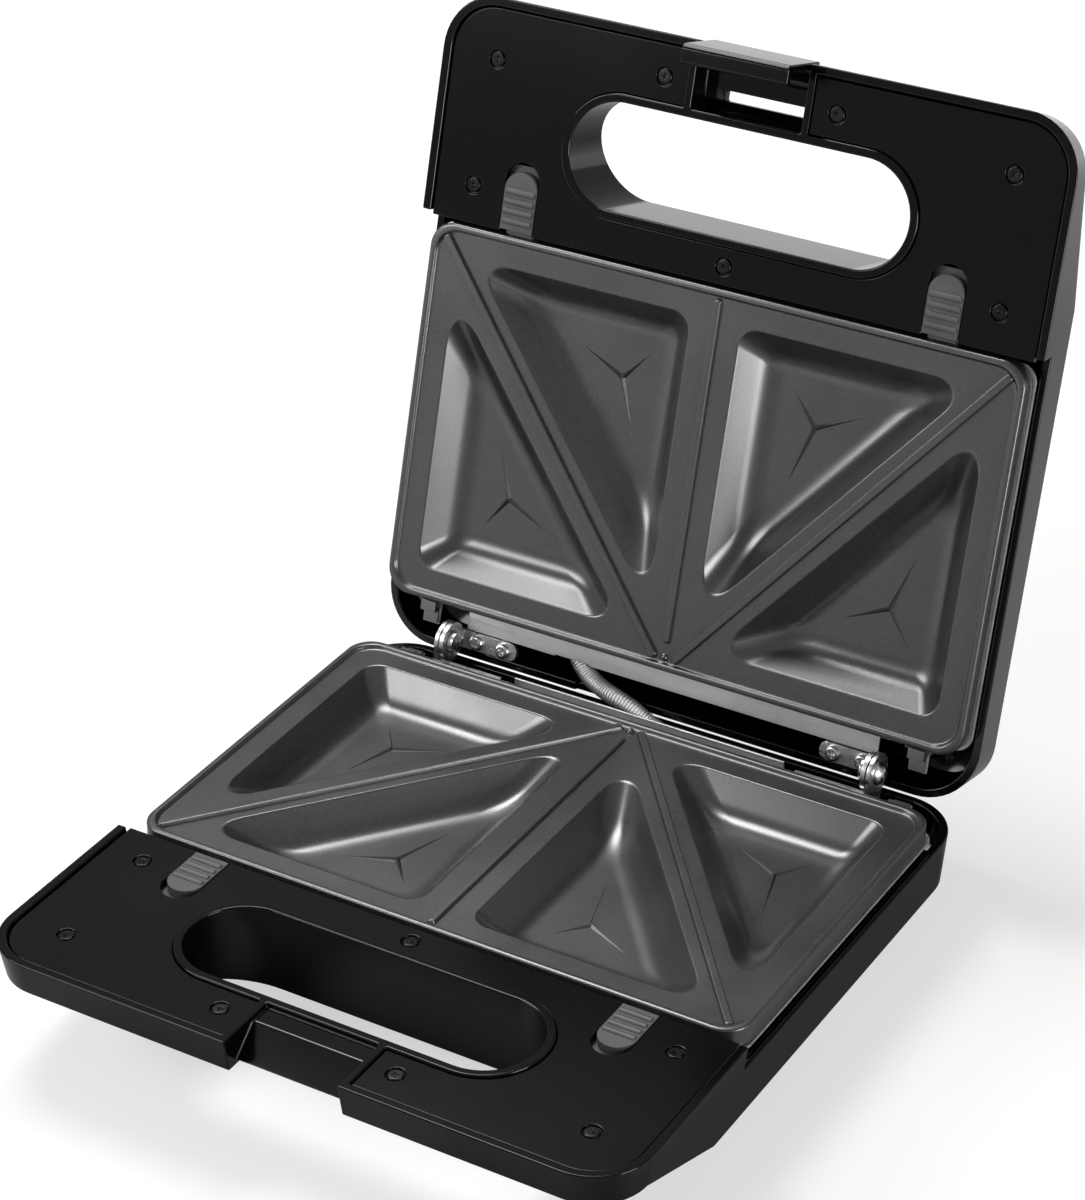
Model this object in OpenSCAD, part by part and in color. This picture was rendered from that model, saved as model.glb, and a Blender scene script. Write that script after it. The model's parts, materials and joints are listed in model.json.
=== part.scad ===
// Sandwich toaster: two hinged halves with removable four-triangle plates, shown with the lid open.
// Every half is drawn in one half frame: x to the right, y = 0 at the plate's centre with the hinge
// at +y, z = 0 on the closing plane and the housing below it. in_base() and in_lid() place a half.

/* [Plates] */
// Width of a cooking plate
plate_w = 225; // [205:1:250]
// Depth of a cooking plate, front to back
plate_d = 134; // [124:1:145]
// Outer corner radius of a plate
plate_r = 9; // [6:0.5:12]
// Thickness of the cast plate
plate_t = 2.2; // [1.8:0.1:2.6]
// Width of the raised rim round a plate
rim_w = 2.4; // [2:0.1:3.5]
// Drop from the rim to the flat land of a plate
land_drop = 1.5; // [1:0.1:2]
// Depth of a sandwich pocket below the land
pocket_depth = 11; // [8:0.5:12]
// Distance from the plate's edge to a pocket
pocket_margin = 11; // [9:0.5:14]
// Distance from a dividing ridge's centre to a pocket
ridge_margin = 6.5; // [5:0.5:9]
// Corner radius of a pocket
pocket_r = 7; // [4:0.5:9]
// Width of a dividing ridge
ridge_w = 3.6; // [2:0.2:5]
// Height of the skirt under the rim
skirt_h = 6.6; // [6:0.1:7]

/* [Housing] */
// Land of the housing outside a plate, each side
side_land = 5; // [4:0.5:8]
// Land of the housing behind a plate
rear_land = 19; // [18:0.5:24]
// Reach of the handle in front of a plate
handle_reach = 79.5; // [76:0.5:90]
// Front corner radius of the housing
front_r = 20; // [16:1:26]
// Rear corner radius of the housing
rear_r = 22; // [20:1:26]
// Depth of the side walls below the closing plane
shell_depth = 32; // [32:0.5:36]
// Extra depth of the flat floor below the side walls
belly_depth = 6; // [4:0.5:9]
// Inward draft of the side walls over their depth
draft = 5; // [2:0.5:7]
// Inset of the flat floor from the foot of the side walls
belly_inset = 12; // [8:1:16]
// Wall thickness of the housings
wall = 3; // [2.6:0.1:3.4]
// Drop from the closing plane to the lid's wall beside the plate
lid_drop = 9; // [8.6:0.1:10]
// Drop from the closing plane to the base's wall beside the plate
base_drop = 10; // [9.8:0.1:11]
// Inset of the step along the foot of the base's rear wall
notch_in = 7; // [4:0.5:8]
// Gap between the two closed halves
half_gap = 0.6; // [0.4:0.1:1.2]
// Height of a rubber foot
foot_h = 6; // [4:0.5:12]
// Radius of a rubber foot
foot_r = 7; // [5:0.5:9]

/* [Handle] */
// Length of the finger hole
hole_l = 127; // [110:1:132]
// Width of the finger hole
hole_w = 36.5; // [32:0.5:38]
// Width of the grip bar in front of the finger hole
bar_w = 26; // [25:0.5:28]
// Depth of the grip bar
bar_depth = 12.5; // [12:0.5:15]
// Thickness of a handle cover panel
panel_t = 2.2; // [1.8:0.1:2.5]
// Drop from the housing's rim to a cover panel
panel_drop = 1; // [0.6:0.1:1.4]

/* [Fasteners] */
// Diameter of every screw's shank
screw_d = 3; // [2.5:0.1:3.2]
// Diameter of every screw's head
head_d = 5.5; // [5:0.1:6]

/* [Hinge] */
// Distance from a plate's rear edge to the hinge axis
hinge_back = 12; // [12:0.1:12.5]
// Angle that the lid is open
lid_open = 107.3; // [100:0.1:107.3]
// Distance from a plate's side edge in to a hinge ear
hinge_inset = 30.5; // [26.5:0.5:34.5]
// Radius of a hinge ear
ear_r = 7; // [6:0.1:7]
// Diameter of a hinge rivet
rivet_d = 5; // [4:0.1:6]
// Thickness of the steel brackets
bracket_t = 1.6; // [1.2:0.1:1.6]
// Width of a lid bracket's plate
bracket_w = 22; // [20:0.5:24]

/* [Latch] */
// Width of the latch notch
notch_w = 41; // [36:0.5:46]
// Reach of the latch past the closing plane
latch_reach = 13.6; // [13.2:0.1:14.4]
// Thickness of the latch's hook
hook_t = 2.6; // [2:0.1:2.8]
// Diameter of the latch pin
latch_pin_d = 3; // [2.5:0.1:3.2]

/* [Release buttons] */
// Distance from a plate's side edge in to the middle of a release button
button_inset = 32.5; // [28.5:0.5:35.5]
// Width of a release button's pad
button_w = 12.6; // [11:0.1:13.5]
// Length of a release button's pad
button_l = 20.3; // [18:0.1:22]
// Travel of a release button
button_travel = 3; // [2.6:0.1:3.2]
// Outer diameter of a release spring
spring_d = 4.4; // [3.8:0.1:4.6]

/* [Heating and wiring] */
// Diameter of the tubular heating element
element_d = 6.6; // [6:0.1:7]
// Thickness of the liner's sheet steel
liner_t = 0.8; // [0.6:0.1:1]
// Depth of the liner pan below the closing plane
liner_depth = 26.8; // [26:0.1:27.5]
// Radius of the cord gland's bore
gland_bore_r = 3.4; // [3:0.1:3.6]
// Distance from the centre line to the cord gland
gland_x = 40; // [30:1:50]
// Outer diameter of the conduit's spring sheath
conduit_d = 6.5; // [6:0.1:6.8]
// Wire diameter of the spring sheath
sheath_wire = 0.9; // [0.7:0.05:0.95]
// Number of curls in the spring sheath
sheath_curls = 41; // [36:1:42]

/* [Hidden] */
$fn = 48;

// Clearances
fit = 0.05;         // running fit of a pin or a screw in its hole
loose = 0.3;        // gap between pieces that move past each other
panel_gap = 0.2;    // gap round a cover panel
over = 1;           // length by which a cutter passes a face
far = 400;          // size of a cutter that clears everything

// Places in the half frame
front_edge = -plate_d / 2;
back_edge = plate_d / 2;
half_w = plate_w / 2 + side_land;
front_y = front_edge - handle_reach;
rear_y = back_edge + rear_land;
hinge_y = back_edge + hinge_back;
body_depth = shell_depth + belly_depth;
rim_z = -half_gap / 2;
land_z = rim_z - land_drop;
panel_z = rim_z - panel_drop;
panel_floor = panel_z - panel_t;
panel_inset = wall + panel_gap + draft * (rim_z + over - panel_floor) / (rim_z + over + shell_depth);
rim_end = front_edge - 2.5;
panel_end = front_edge - 1.2;
hole_front = front_y + bar_w;
hole_back = hole_front + hole_w;
hole_mid = (hole_front + hole_back) / 2;
hole_end = (hole_l - hole_w) / 2;
slope_front = hole_front - 7;
slope_back = hole_back + 2;
belly_front = front_edge - 3;
belly_rear_in = 8;
notch_top = shell_depth - 10;
notch_low = notch_top + 4;
floor_z = -body_depth + wall;
skirt_z = rim_z - skirt_h;
screw_r = screw_d / 2;
boss_r = screw_r + 1.9;
head_h = 1.8;
recess_h = 0.9;

// Cover screws, as x and y in the half frame
cover_screws = [
  [21.5 - half_w, front_y + 21], [half_w - 21.5, front_y + 21],
  [-32, front_y + 14.5], [32, front_y + 14.5],
  [18.5 - half_w, front_edge - 14.5], [half_w - 18.5, front_edge - 14.5], [0, front_edge - 7.5]];

// Liner pan and flange
pan_x = plate_w / 2 - 8.5;
pan_y = plate_d / 2 - 5;
flange_x = plate_w / 2 + 0.8;
flange_y = plate_d / 2 - 1;
flange_z = skirt_z - loose;
liner_floor = -liner_depth;
liner_post_x = plate_w / 2 - 52.5;
liner_post_y = plate_d / 2 - 22;
liner_posts = [
  [-liner_post_x, -liner_post_y], [liner_post_x, -liner_post_y],
  [-liner_post_x, liner_post_y], [liner_post_x, liner_post_y]];

// Plate hooks, clips and tilt axis
lug_half = 5;
lug_t = 1.4;
tilt_y = back_edge + 1.6;
tilt_z = skirt_z + lug_t;
clip_x = plate_w / 2 - 16.5;

// Hinge
hinge_x = plate_w / 2 - hinge_inset;
strip_y = hinge_y - 3.5;
lid_wall_y = hinge_y - 3.1;
base_wall_y = hinge_y - 7.8;
base_wall_top = -4;
bracket_screw_x = [hinge_x - 16.7, hinge_x - 5.8];
bracket_screw_z = -11;
block_y = base_wall_y - 7.2;

// Latch
notch_x = notch_w / 2;
cheek_x = notch_x + 2.5;
latch_x = notch_x - 0.8;
pin_y = front_y + 7;
pin_z = -6;
hook_tip = front_y + 7;
recess_low = -(latch_reach - hook_t - 0.4);
ledge_z = rim_z - 1.9;
ledge_y = front_y + 15.5;

// Release buttons
button_x = plate_w / 2 - button_inset;
pad_rear = panel_end - 1;
pad_front = pad_rear - button_l;
slot_r = button_w / 2 + loose;
pad_top = panel_z + 0.4;
guide_top = panel_floor - loose;
guide_t = 1.8;
guide_half = button_w / 2 + 2;
nose_t = 1.3;
spring_z = guide_top - guide_t - spring_d / 2 + 0.2;
spring_seat = pad_front - 12.2;

// Element, gland and lamps
pocket_floor = land_z - pocket_depth;
element_z = pocket_floor - plate_t - loose - element_d / 2;
element_y = 30;
element_x = plate_w / 2 - 28.5;
gland_z = floor_z + gland_bore_r + 0.4;
gland_wall_y = rear_y - notch_in;
lamp_x = 14;
lamp_y = front_edge + 16;
lens_r = 4;

// Heights in the row frame, whose origin is the middle of the open toaster's box, on the table
close_z = foot_h + body_depth;
function swung_y(y, z) = hinge_y + (y - hinge_y) * cos(lid_open) + z * sin(lid_open);
lid_back = max(swung_y(front_y, bar_depth), swung_y(slope_back, shell_depth), swung_y(belly_front, body_depth));
row_y = -(front_y + lid_back) / 2;

module in_base() {
  translate([0, row_y, close_z]) children();
}

module in_lid() {
  translate([0, row_y + hinge_y, close_z]) rotate([-lid_open, 0, 0]) translate([0, -hinge_y, 0])
    mirror([0, 0, 1]) children();
}

// Extrudes a y-z outline along x, centred
module along_x(length) {
  rotate([90, 0, 90]) linear_extrude(length, center = true) children();
}

module block(x0, x1, y0, y1, z0, z1) {
  translate([x0, y0, z0]) cube([x1 - x0, y1 - y0, z1 - z0]);
}

module post(r, x, y, z0, z1) {
  translate([x, y, z0]) cylinder(r = r, h = z1 - z0);
}

// Rod along x or y
module rod_x(r, x0, x1, y, z) {
  translate([x0, y, z]) rotate([0, 90, 0]) cylinder(r = r, h = x1 - x0);
}

module rod_y(r, x, y0, y1, z) {
  translate([x, y0, z]) rotate([-90, 0, 0]) cylinder(r = r, h = y1 - y0);
}

module mirrored() {
  children();
  mirror([1, 0, 0]) children();
}

// Rectangle with one radius for the two front corners and one for the two rear corners
module rounded_plan(hw, y0, y1, rf, rr) {
  polygon([
    [-hw, y0 + rf], [-hw + rf, y0], [hw - rf, y0], [hw, y0 + rf],
    [hw, y1 - rr], [hw - rr, y1], [-hw + rr, y1], [-hw, y1 - rr]]);
  for (s = [-1, 1]) {
    translate([s * (hw - rf), y0 + rf]) circle(rf);
    translate([s * (hw - rr), y1 - rr]) circle(rr);
  }
}

module stadium(grow = 0) {
  for (s = [-1, 1]) translate([s * hole_end, hole_mid]) circle(hole_w / 2 + grow);
  translate([-hole_end, hole_front - grow]) square([2 * hole_end, hole_w + 2 * grow]);
}

// Housing outline, inset at the front and sides, and by its own amount at the rear
module plan(inset, rear_inset) {
  rounded_plan(half_w - inset, front_y + inset, rear_y - rear_inset, front_r - inset, max(rear_r - inset, 2));
}

// Solid form of a half, shrunk by t on every side for the hollow
module half_form(t, has_notch) {
  slab = 0.01;
  difference() {
    intersection() {
      union() {
        hull() {
          translate([0, 0, rim_z + (t > 0 ? over : 0) - slab]) linear_extrude(slab) plan(t, t);
          translate([0, 0, -shell_depth]) linear_extrude(slab) plan(draft + t, t);
        }
        hull() {
          translate([0, 0, -shell_depth]) linear_extrude(slab) plan(draft + t, t);
          translate([0, 0, -body_depth + t]) linear_extrude(slab)
            plan(draft + belly_inset + t, belly_rear_in + t);
        }
      }
      along_x(far) polygon([
        [front_y - over, over], [front_y - over, -bar_depth + t], [slope_front, -bar_depth + t],
        [slope_back, -shell_depth + t], [belly_front, -body_depth + t],
        [rear_y + over, -body_depth + t], [rear_y + over, over]]);
    }
    if (has_notch)
      along_x(far) polygon([
        [rear_y + over, -notch_top + t], [rear_y, -notch_top + t], [rear_y - notch_in - t, -notch_low + t],
        [rear_y - notch_in - t, -body_depth - over], [rear_y + over, -body_depth - over]]);
  }
}

// Posts, ribs and walls that stand in a half's hollow
module half_islands() {
  translate([0, 0, -body_depth]) linear_extrude(body_depth + rim_z) stadium(wall);
  for (p = cover_screws) post(boss_r, p[0], p[1], -body_depth, panel_floor);
  for (p = liner_posts) post(boss_r, p[0], p[1], -body_depth, liner_floor - liner_t);
  mirrored() {
    for (s = [-1, 1]) {
      rail = button_x + s * (guide_half - 1);
      block(rail - 1, rail + 1, spring_seat, rim_end - 2, -body_depth, guide_top - guide_t - loose);
    }
    block(button_x - 5, button_x + 5, spring_seat - 2, spring_seat, -body_depth, guide_top - guide_t);
  }
}

module half_shell(drop, has_notch) {
  difference() {
    half_form(0, has_notch);
    difference() {
      half_form(wall, has_notch);
      half_islands();
      children(0);
    }
    block(-far, far, rim_end, far, -drop, over);
    translate([0, 0, -far]) linear_extrude(2 * far) stadium();
    for (p = cover_screws) post(screw_r + fit, p[0], p[1], panel_floor - 7, over);
    for (p = liner_posts) post(screw_r + fit, p[0], p[1], liner_floor - 6, over);
    children(1);
  }
}

// Panel over the hollow handle, with slots for the release buttons
module handle_cover(extra_notch) {
  slot_end = pad_front - button_travel - 0.4;
  difference() {
    translate([0, 0, panel_floor]) linear_extrude(panel_t) difference() {
      plan(panel_inset, panel_inset);
      translate([-far, panel_end]) square(2 * far);
      stadium(wall + panel_gap);
      translate([-extra_notch - panel_gap, front_y]) square([2 * (extra_notch + panel_gap), bar_w]);
      for (s = [-1, 1]) {
        translate([s * button_x, slot_end + slot_r]) circle(slot_r);
        translate([s * button_x - slot_r, slot_end + slot_r]) square([2 * slot_r, far]);
      }
    }
    for (p = cover_screws) {
      post(screw_r + fit, p[0], p[1], panel_floor - over, over);
      post(head_d / 2 + 0.4, p[0], p[1], panel_z - recess_h, over);
    }
  }
}

// Cross-recess screw standing on seat z, head up
module screw(x, y, z, length) {
  difference() {
    union() {
      post(screw_r, x, y, z - length, z + 0.1);
      translate([x, y, z]) cylinder(r1 = head_d / 2, r2 = head_d / 2 - 0.6, h = head_h);
    }
    for (a = [0, 90]) translate([x, y, z + head_h]) rotate([0, 0, a]) cube([3, 0.7, 1.6], center = true);
  }
}

module cover_screw_set() {
  for (p = cover_screws) screw(p[0], p[1], panel_z - recess_h, 6);
}

// Thin steel pan under a plate, its flange showing beside and behind the plate
module liner(strip_half, strip_back, lip_h) {
  tab_half = 3.4;
  difference() {
    union() {
      translate([0, 0, flange_z - liner_t]) linear_extrude(liner_t) {
        rounded_plan(flange_x, -flange_y, flange_y, 6, 6);
        translate([-strip_half, 0]) square([2 * strip_half, strip_back]);
        for (s = [-1, 1]) translate([s * clip_x - tab_half, 0]) square([2 * tab_half, back_edge + 10]);
      }
      block(-strip_half, strip_half, strip_back - liner_t, strip_back, flange_z - liner_t, flange_z + lip_h);
      translate([0, 0, liner_floor - liner_t]) linear_extrude(flange_z - liner_floor + liner_t / 2)
        rounded_plan(pan_x, -pan_y, pan_y, 8, 8);
    }
    translate([0, 0, liner_floor]) linear_extrude(far)
      rounded_plan(pan_x - liner_t, -pan_y + liner_t, pan_y - liner_t, 8 - liner_t, 8 - liner_t);
    for (p = liner_posts) post(screw_r + fit, p[0], p[1], liner_floor - over, liner_floor + over);
    for (s = [-1, 1]) post(2, element_x + 11, s * element_y, liner_floor - over - liner_t, liner_floor + over);
    children();
  }
}

module liner_screw_set() {
  for (p = liner_posts) screw(p[0], p[1], liner_floor, 6);
}

// U-shaped tubular heater with its two terminal pins
module heating_element() {
  r = element_d / 2;
  translate([-element_x + element_y, 0, element_z]) rotate([0, 0, 90]) rotate_extrude(angle = 180)
    translate([element_y, 0]) circle(r);
  for (s = [-1, 1]) {
    rod_x(r, -element_x + element_y, element_x, s * element_y, element_z);
    rod_x(1.4, element_x, element_x + 9, s * element_y, element_z);
  }
}

module element_clamps() {
  for (x = [-40, 50], s = [-1, 1])
    difference() {
      block(x - 4, x + 4, s * element_y - 5, s * element_y + 5, liner_floor, element_z);
      rod_x(element_d / 2 + fit, x - 5, x + 5, s * element_y, element_z);
    }
}

// Corner where two straight lines meet, each given by a point and a direction
function meet(p, d, q, e) = p + d * ((q[0] - p[0]) * e[1] - (q[1] - p[1]) * e[0]) / (d[0] * e[1] - d[1] * e[0]);
function unit(v) = v / norm(v);
function left_of(v) = [-v[1], v[0]];

// Triangle moved inwards by one margin per side; the corners run anticlockwise
function inset_corner(t, m, i) =
  let (a = t[i], b = t[(i + 1) % 3], z = t[(i + 2) % 3], d = unit(b - a), e = unit(a - z))
  meet(a + left_of(d) * m[i], d, a + left_of(e) * m[(i + 2) % 3], e);
function inset_triangle(t, m) = [for (i = [0:2]) inset_corner(t, m, i)];

// Triangle with rounded corners, as a list of points
arc_steps = 6;
function rounded_triangle(t, r) = [
  for (i = [0:2])
    let (
      a = t[i], d = unit(t[(i + 1) % 3] - a), e = unit(t[(i + 2) % 3] - a), m = unit(d + e),
      half = acos(d * e) / 2, c = a + m * r / sin(half), start = atan2(-m[1], -m[0]) - (90 - half))
    for (k = [0:arc_steps])
      let (turn = start + 2 * (90 - half) * k / arc_steps) c + r * [cos(turn), sin(turn)]];

// Incentre and inradius of a triangle
function side_len(t, i) = norm(t[(i + 1) % 3] - t[(i + 2) % 3]);
function perimeter(t) = side_len(t, 0) + side_len(t, 1) + side_len(t, 2);
function incentre(t) = (t[0] * side_len(t, 0) + t[1] * side_len(t, 1) + t[2] * side_len(t, 2)) / perimeter(t);
function inradius(t) = let (u = t[1] - t[0], v = t[2] - t[0]) abs(u[0] * v[1] - u[1] * v[0]) / perimeter(t);

// The two pockets of the left half of a plate, by their corners
half_corner = [-plate_w / 2, front_edge];
outer_triangle = inset_triangle([[0, back_edge], [-plate_w / 2, back_edge], half_corner],
  [pocket_margin, pocket_margin, ridge_margin]);
inner_triangle = inset_triangle([[0, back_edge], half_corner, [0, front_edge]],
  [ridge_margin, pocket_margin, ridge_margin + 3]);
pocket_steps = [[0, 0], [0.62, 4.2], [0.92, 8], [1, 11]];

// Pocket or its bulge: rounded triangles that draw in about the incentre on the way down
module pocket(t, grow, top, depth) {
  c = incentre(t);
  rho = inradius(t);
  outline = rounded_triangle(t, pocket_r);
  n = len(outline);
  rings = len(pocket_steps);
  points = [
    for (step = pocket_steps) for (p = outline)
      let (q = c + (p - c) * (rho + grow - step[1]) / rho) [q[0], q[1], top - step[0] * depth]];
  walls = [for (i = [0:rings - 2]) for (k = [0:n - 1])
    let (a = i * n + k, b = i * n + (k + 1) % n) [a, b, b + n, a + n]];
  cap = [for (k = [0:n - 1]) n - 1 - k];
  foot = [for (k = [0:n - 1]) (rings - 1) * n + k];
  polyhedron(points, concat(walls, [cap, foot]));
}

module all_pockets(grow, top, depth) {
  mirrored() {
    pocket(outer_triangle, grow, top, depth);
    pocket(inner_triangle, grow, top, depth);
  }
}

module ridge(from, to, w) {
  d = to - from;
  translate([from[0], from[1], land_z - 0.5]) rotate([0, 0, atan2(d[1], d[0])])
    translate([0, -w / 2, 0]) cube([norm(d), w, land_drop * 0.7 + 0.5]);
}

module plate_outline(inset) {
  r = plate_r - inset;
  rounded_plan(plate_w / 2 - inset, front_edge + inset, back_edge - inset, r, r);
}

module cooking_plate() {
  hw = plate_w / 2;
  difference() {
    union() {
      difference() {
        translate([0, 0, skirt_z]) linear_extrude(skirt_h) plate_outline(0);
        translate([0, 0, land_z]) linear_extrude(far) plate_outline(rim_w);
        translate([0, 0, -far]) linear_extrude(far + land_z - plate_t) plate_outline(plate_t);
      }
      all_pockets(plate_t, land_z - 0.5, pocket_depth + plate_t - 0.5);
      mirrored() ridge([-hw + plate_r - 3, front_edge + plate_r - 4], [-3, back_edge - rim_w], ridge_w);
      ridge([0, front_edge + rim_w], [0, back_edge - rim_w], ridge_w * 0.7);
      for (s = [-1, 1]) {
        block(s * clip_x - lug_half, s * clip_x + lug_half, back_edge - over, tilt_y,
          tilt_z - lug_t / 2, tilt_z + lug_t / 2);
        rod_x(lug_t / 2, s * clip_x - lug_half, s * clip_x + lug_half, tilt_y, tilt_z);
        block(s * button_x - lug_half, s * button_x + lug_half, front_edge - 2.3, front_edge + over,
          guide_top - nose_t - loose - 1.3, guide_top - nose_t - loose);
      }
    }
    all_pockets(0, land_z + 0.01, pocket_depth);
  }
}

// Spring-steel clips over the plate's rear hooks
module plate_clips() {
  gap = tilt_z + lug_t / 2 + 0.4;
  for (s = [-1, 1]) {
    block(s * clip_x - 3, s * clip_x + 3, back_edge + 4.2, back_edge + 9.5, flange_z, flange_z + 0.9);
    block(s * clip_x - 3, s * clip_x + 3, back_edge + 4.2, back_edge + 5.1, flange_z, gap + 0.9);
    block(s * clip_x - 3, s * clip_x + 3, back_edge + 1.4, back_edge + 5.1, gap, gap + 0.9);
  }
}

// Release button on the right-hand side of a half
module release_button() {
  translate([button_x, 0, 0]) {
    translate([0, 0, guide_top]) linear_extrude(pad_top - guide_top) {
      translate([0, pad_front + button_w / 2]) circle(button_w / 2);
      translate([-button_w / 2, pad_front + button_w / 2]) square([button_w, button_l - button_w / 2]);
    }
    for (i = [0:3]) {
      rod_x(0.7, -button_w / 2 + 1, button_w / 2 - 1, pad_rear - 3 - 3.4 * i, pad_top);
    }
    block(-guide_half, guide_half, pad_front - 2, pad_rear - 1.8, guide_top - guide_t, guide_top);
    block(-lug_half, lug_half, pad_rear - 2, front_edge - 0.4, guide_top - nose_t, guide_top);
    block(-4, 4, pad_front - 2, pad_front + 1.5, spring_z - spring_d / 2, guide_top - guide_t);
  }
}

// Helical spring along a centre line, as one unbroken six-sided tube of triangles
wire_sides = 6;
rings_per_curl = 8;
function along(table, s) = [for (k = [1:3]) lookup(s, [for (row = table) [row[0], row[k]]])];
function running_length(points, i = 1, total = 0, out = [0]) =
  i >= len(points) ? out
  : let (t = total + norm(points[i] - points[i - 1])) running_length(points, i + 1, t, concat(out, [t]));
function arc_table(points) =
  let (s = running_length(points)) [for (i = [0:len(points) - 1]) concat([s[i]], points[i])];
function helix_centres(table, coil_r, curls, side) =
  let (total = table[len(table) - 1][0], n = curls * rings_per_curl)
  [for (i = [0:n])
    let (
      s = total * i / n, h = total / n / 2, p = along(table, s),
      t = unit(along(table, min(s + h, total)) - along(table, max(s - h, 0))),
      u = unit(cross(t, side)), v = cross(t, u), a = 360 * i / rings_per_curl)
    [p, p + coil_r * (cos(a) * u + sin(a) * v)]];
function least_gap(c, wire) =
  min([for (i = [0:len(c) - 1]) for (k = [rings_per_curl - 3:rings_per_curl + 3])
    if (i + k < len(c)) norm(c[i + k][1] - c[i][1]) - wire]);

module wire_tube(c, wire) {
  n = len(c);
  points = [
    for (i = [0:n - 1])
      let (
        t = unit(c[min(i + 1, n - 1)][1] - c[max(i - 1, 0)][1]), e = unit(c[i][1] - c[i][0]),
        out = unit(e - t * (e * t)), up = cross(t, out))
      for (k = [0:wire_sides - 1])
        c[i][1] + wire / 2 * (cos(360 * k / wire_sides) * out + sin(360 * k / wire_sides) * up)];
  sides = [
    for (i = [0:n - 2]) for (k = [0:wire_sides - 1])
      let (a = i * wire_sides + k, b = i * wire_sides + (k + 1) % wire_sides)
      each [[a, b + wire_sides, b], [a, a + wire_sides, b + wire_sides]]];
  last = (n - 1) * wire_sides;
  caps = [for (k = [1:wire_sides - 2]) each [[0, k, k + 1], [last, last + k + 1, last + k]]];
  polyhedron(points, concat(sides, caps));
}

release_wire = 0.6;
release_curls = 6;
release_route = arc_table([
  [button_x, spring_seat + release_wire / 2 + fit, spring_z],
  [button_x, pad_front - 2 - release_wire / 2 - fit, spring_z]]);
release_centres = helix_centres(release_route, (spring_d - release_wire) / 2, release_curls, [1, 0, 0]);

module release_spring() {
  wire_tube(release_centres, release_wire);
}

// Conduit between the halves: places are offsets from the hinge axis with the lid open
conduit_rib = 16;
base_end = [conduit_rib - sheath_wire / 2 - 2 * fit, 0.3, -14];
end_run = conduit_d + 0.1;
lid_end_x = -41.9;
lid_end_z = 12.2;
pan_wall_off = pan_y - hinge_y + sheath_wire / 2 + 2 * fit;
bend_points = [[-2.5, 0.3, -9.3], [-12.6, 2.5, -5.3], [-18.8, 3, -4.7], [-34.5, 10, -4.1]];
function lid_point(y) = [lid_end_x, y * cos(lid_open) + lid_end_z * sin(lid_open),
  -y * sin(lid_open) + lid_end_z * cos(lid_open)];
conduit_poles = concat(
  [for (i = [-1:1]) base_end - [i * end_run, 0, 0]], bend_points,
  [for (i = [1:-1:-1]) lid_point(pan_wall_off + i * end_run)]);

// Uniform cubic B-spline, which passes straight through its doubled ends
function spline(p, i, t) =
  ((1 - t) * (1 - t) * (1 - t) * p[i] + (3 * t * t * t - 6 * t * t + 4) * p[i + 1]
  + (-3 * t * t * t + 3 * t * t + 3 * t + 1) * p[i + 2] + t * t * t * p[i + 3]) / 6;
spans = len(conduit_poles) - 3;
conduit_line = concat(
  [for (i = [0:spans - 1]) for (t = [0:0.125:0.99]) spline(conduit_poles, i, t)],
  [spline(conduit_poles, spans - 1, 1)]);
conduit_table = arc_table(conduit_line);
conduit_length = conduit_table[len(conduit_table) - 1][0];
sheath_centres = helix_centres(conduit_table, (conduit_d - sheath_wire) / 2, sheath_curls, [0, 1, 0]);
echo(conduit_length = conduit_length, sheath_least_gap = least_gap(sheath_centres, sheath_wire),
  release_least_gap = least_gap(release_centres, release_wire));

module at_hinge() {
  translate([0, hinge_y, 0]) children();
}

module conduit_sheath() {
  color("#c9cbd0") in_base() at_hinge() wire_tube(sheath_centres, sheath_wire);
}

// Wires that the sheath protects, as one plain tube along the same line
module conduit_wires() {
  steps = 22;
  sides = 8;
  r = 1.9;
  c = [for (i = [0:steps])
    let (
      s = conduit_length * i / steps, h = 0.5,
      t = unit(along(conduit_table, min(s + h, conduit_length)) - along(conduit_table, max(s - h, 0))))
    [along(conduit_table, s), t]];
  points = [for (q = c) let (u = unit(cross(q[1], [0, 1, 0])), v = cross(q[1], u))
    for (k = [0:sides - 1]) q[0] + r * (cos(360 * k / sides) * u + sin(360 * k / sides) * v)];
  faces = [for (i = [0:steps - 1]) for (k = [0:sides - 1])
    let (a = i * sides + k, b = i * sides + (k + 1) % sides)
    each [[a, b + sides, b], [a, a + sides, b + sides]]];
  last = steps * sides;
  caps = [for (k = [1:sides - 2]) each [[0, k, k + 1], [last, last + k + 1, last + k]]];
  color("#8a2b20") in_base() at_hinge() polyhedron(points, concat(faces, caps));
}

// Recess in the front of the base's handle, where the latch hooks on
module recess_cut() {
  along_x(notch_w) polygon([
    [front_y - over, over], [hole_front - wall, over], [hole_front - wall, ledge_z], [ledge_y, ledge_z],
    [front_y + 5.5, recess_low], [front_y + 9, recess_low], [front_y + 9, -bar_depth - over],
    [front_y - over, -bar_depth - over]]);
}

module recess_body() {
  along_x(2 * cheek_x) polygon([
    [front_y, -bar_depth], [front_y, rim_z], [hole_front - wall / 2, rim_z],
    [hole_front - wall / 2, ledge_z - wall],
    [ledge_y - 0.8, ledge_z - wall], [front_y + 9.2, recess_low + 1.2], [front_y + 13, recess_low + 1.2],
    [front_y + 13, -bar_depth]]);
}

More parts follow.
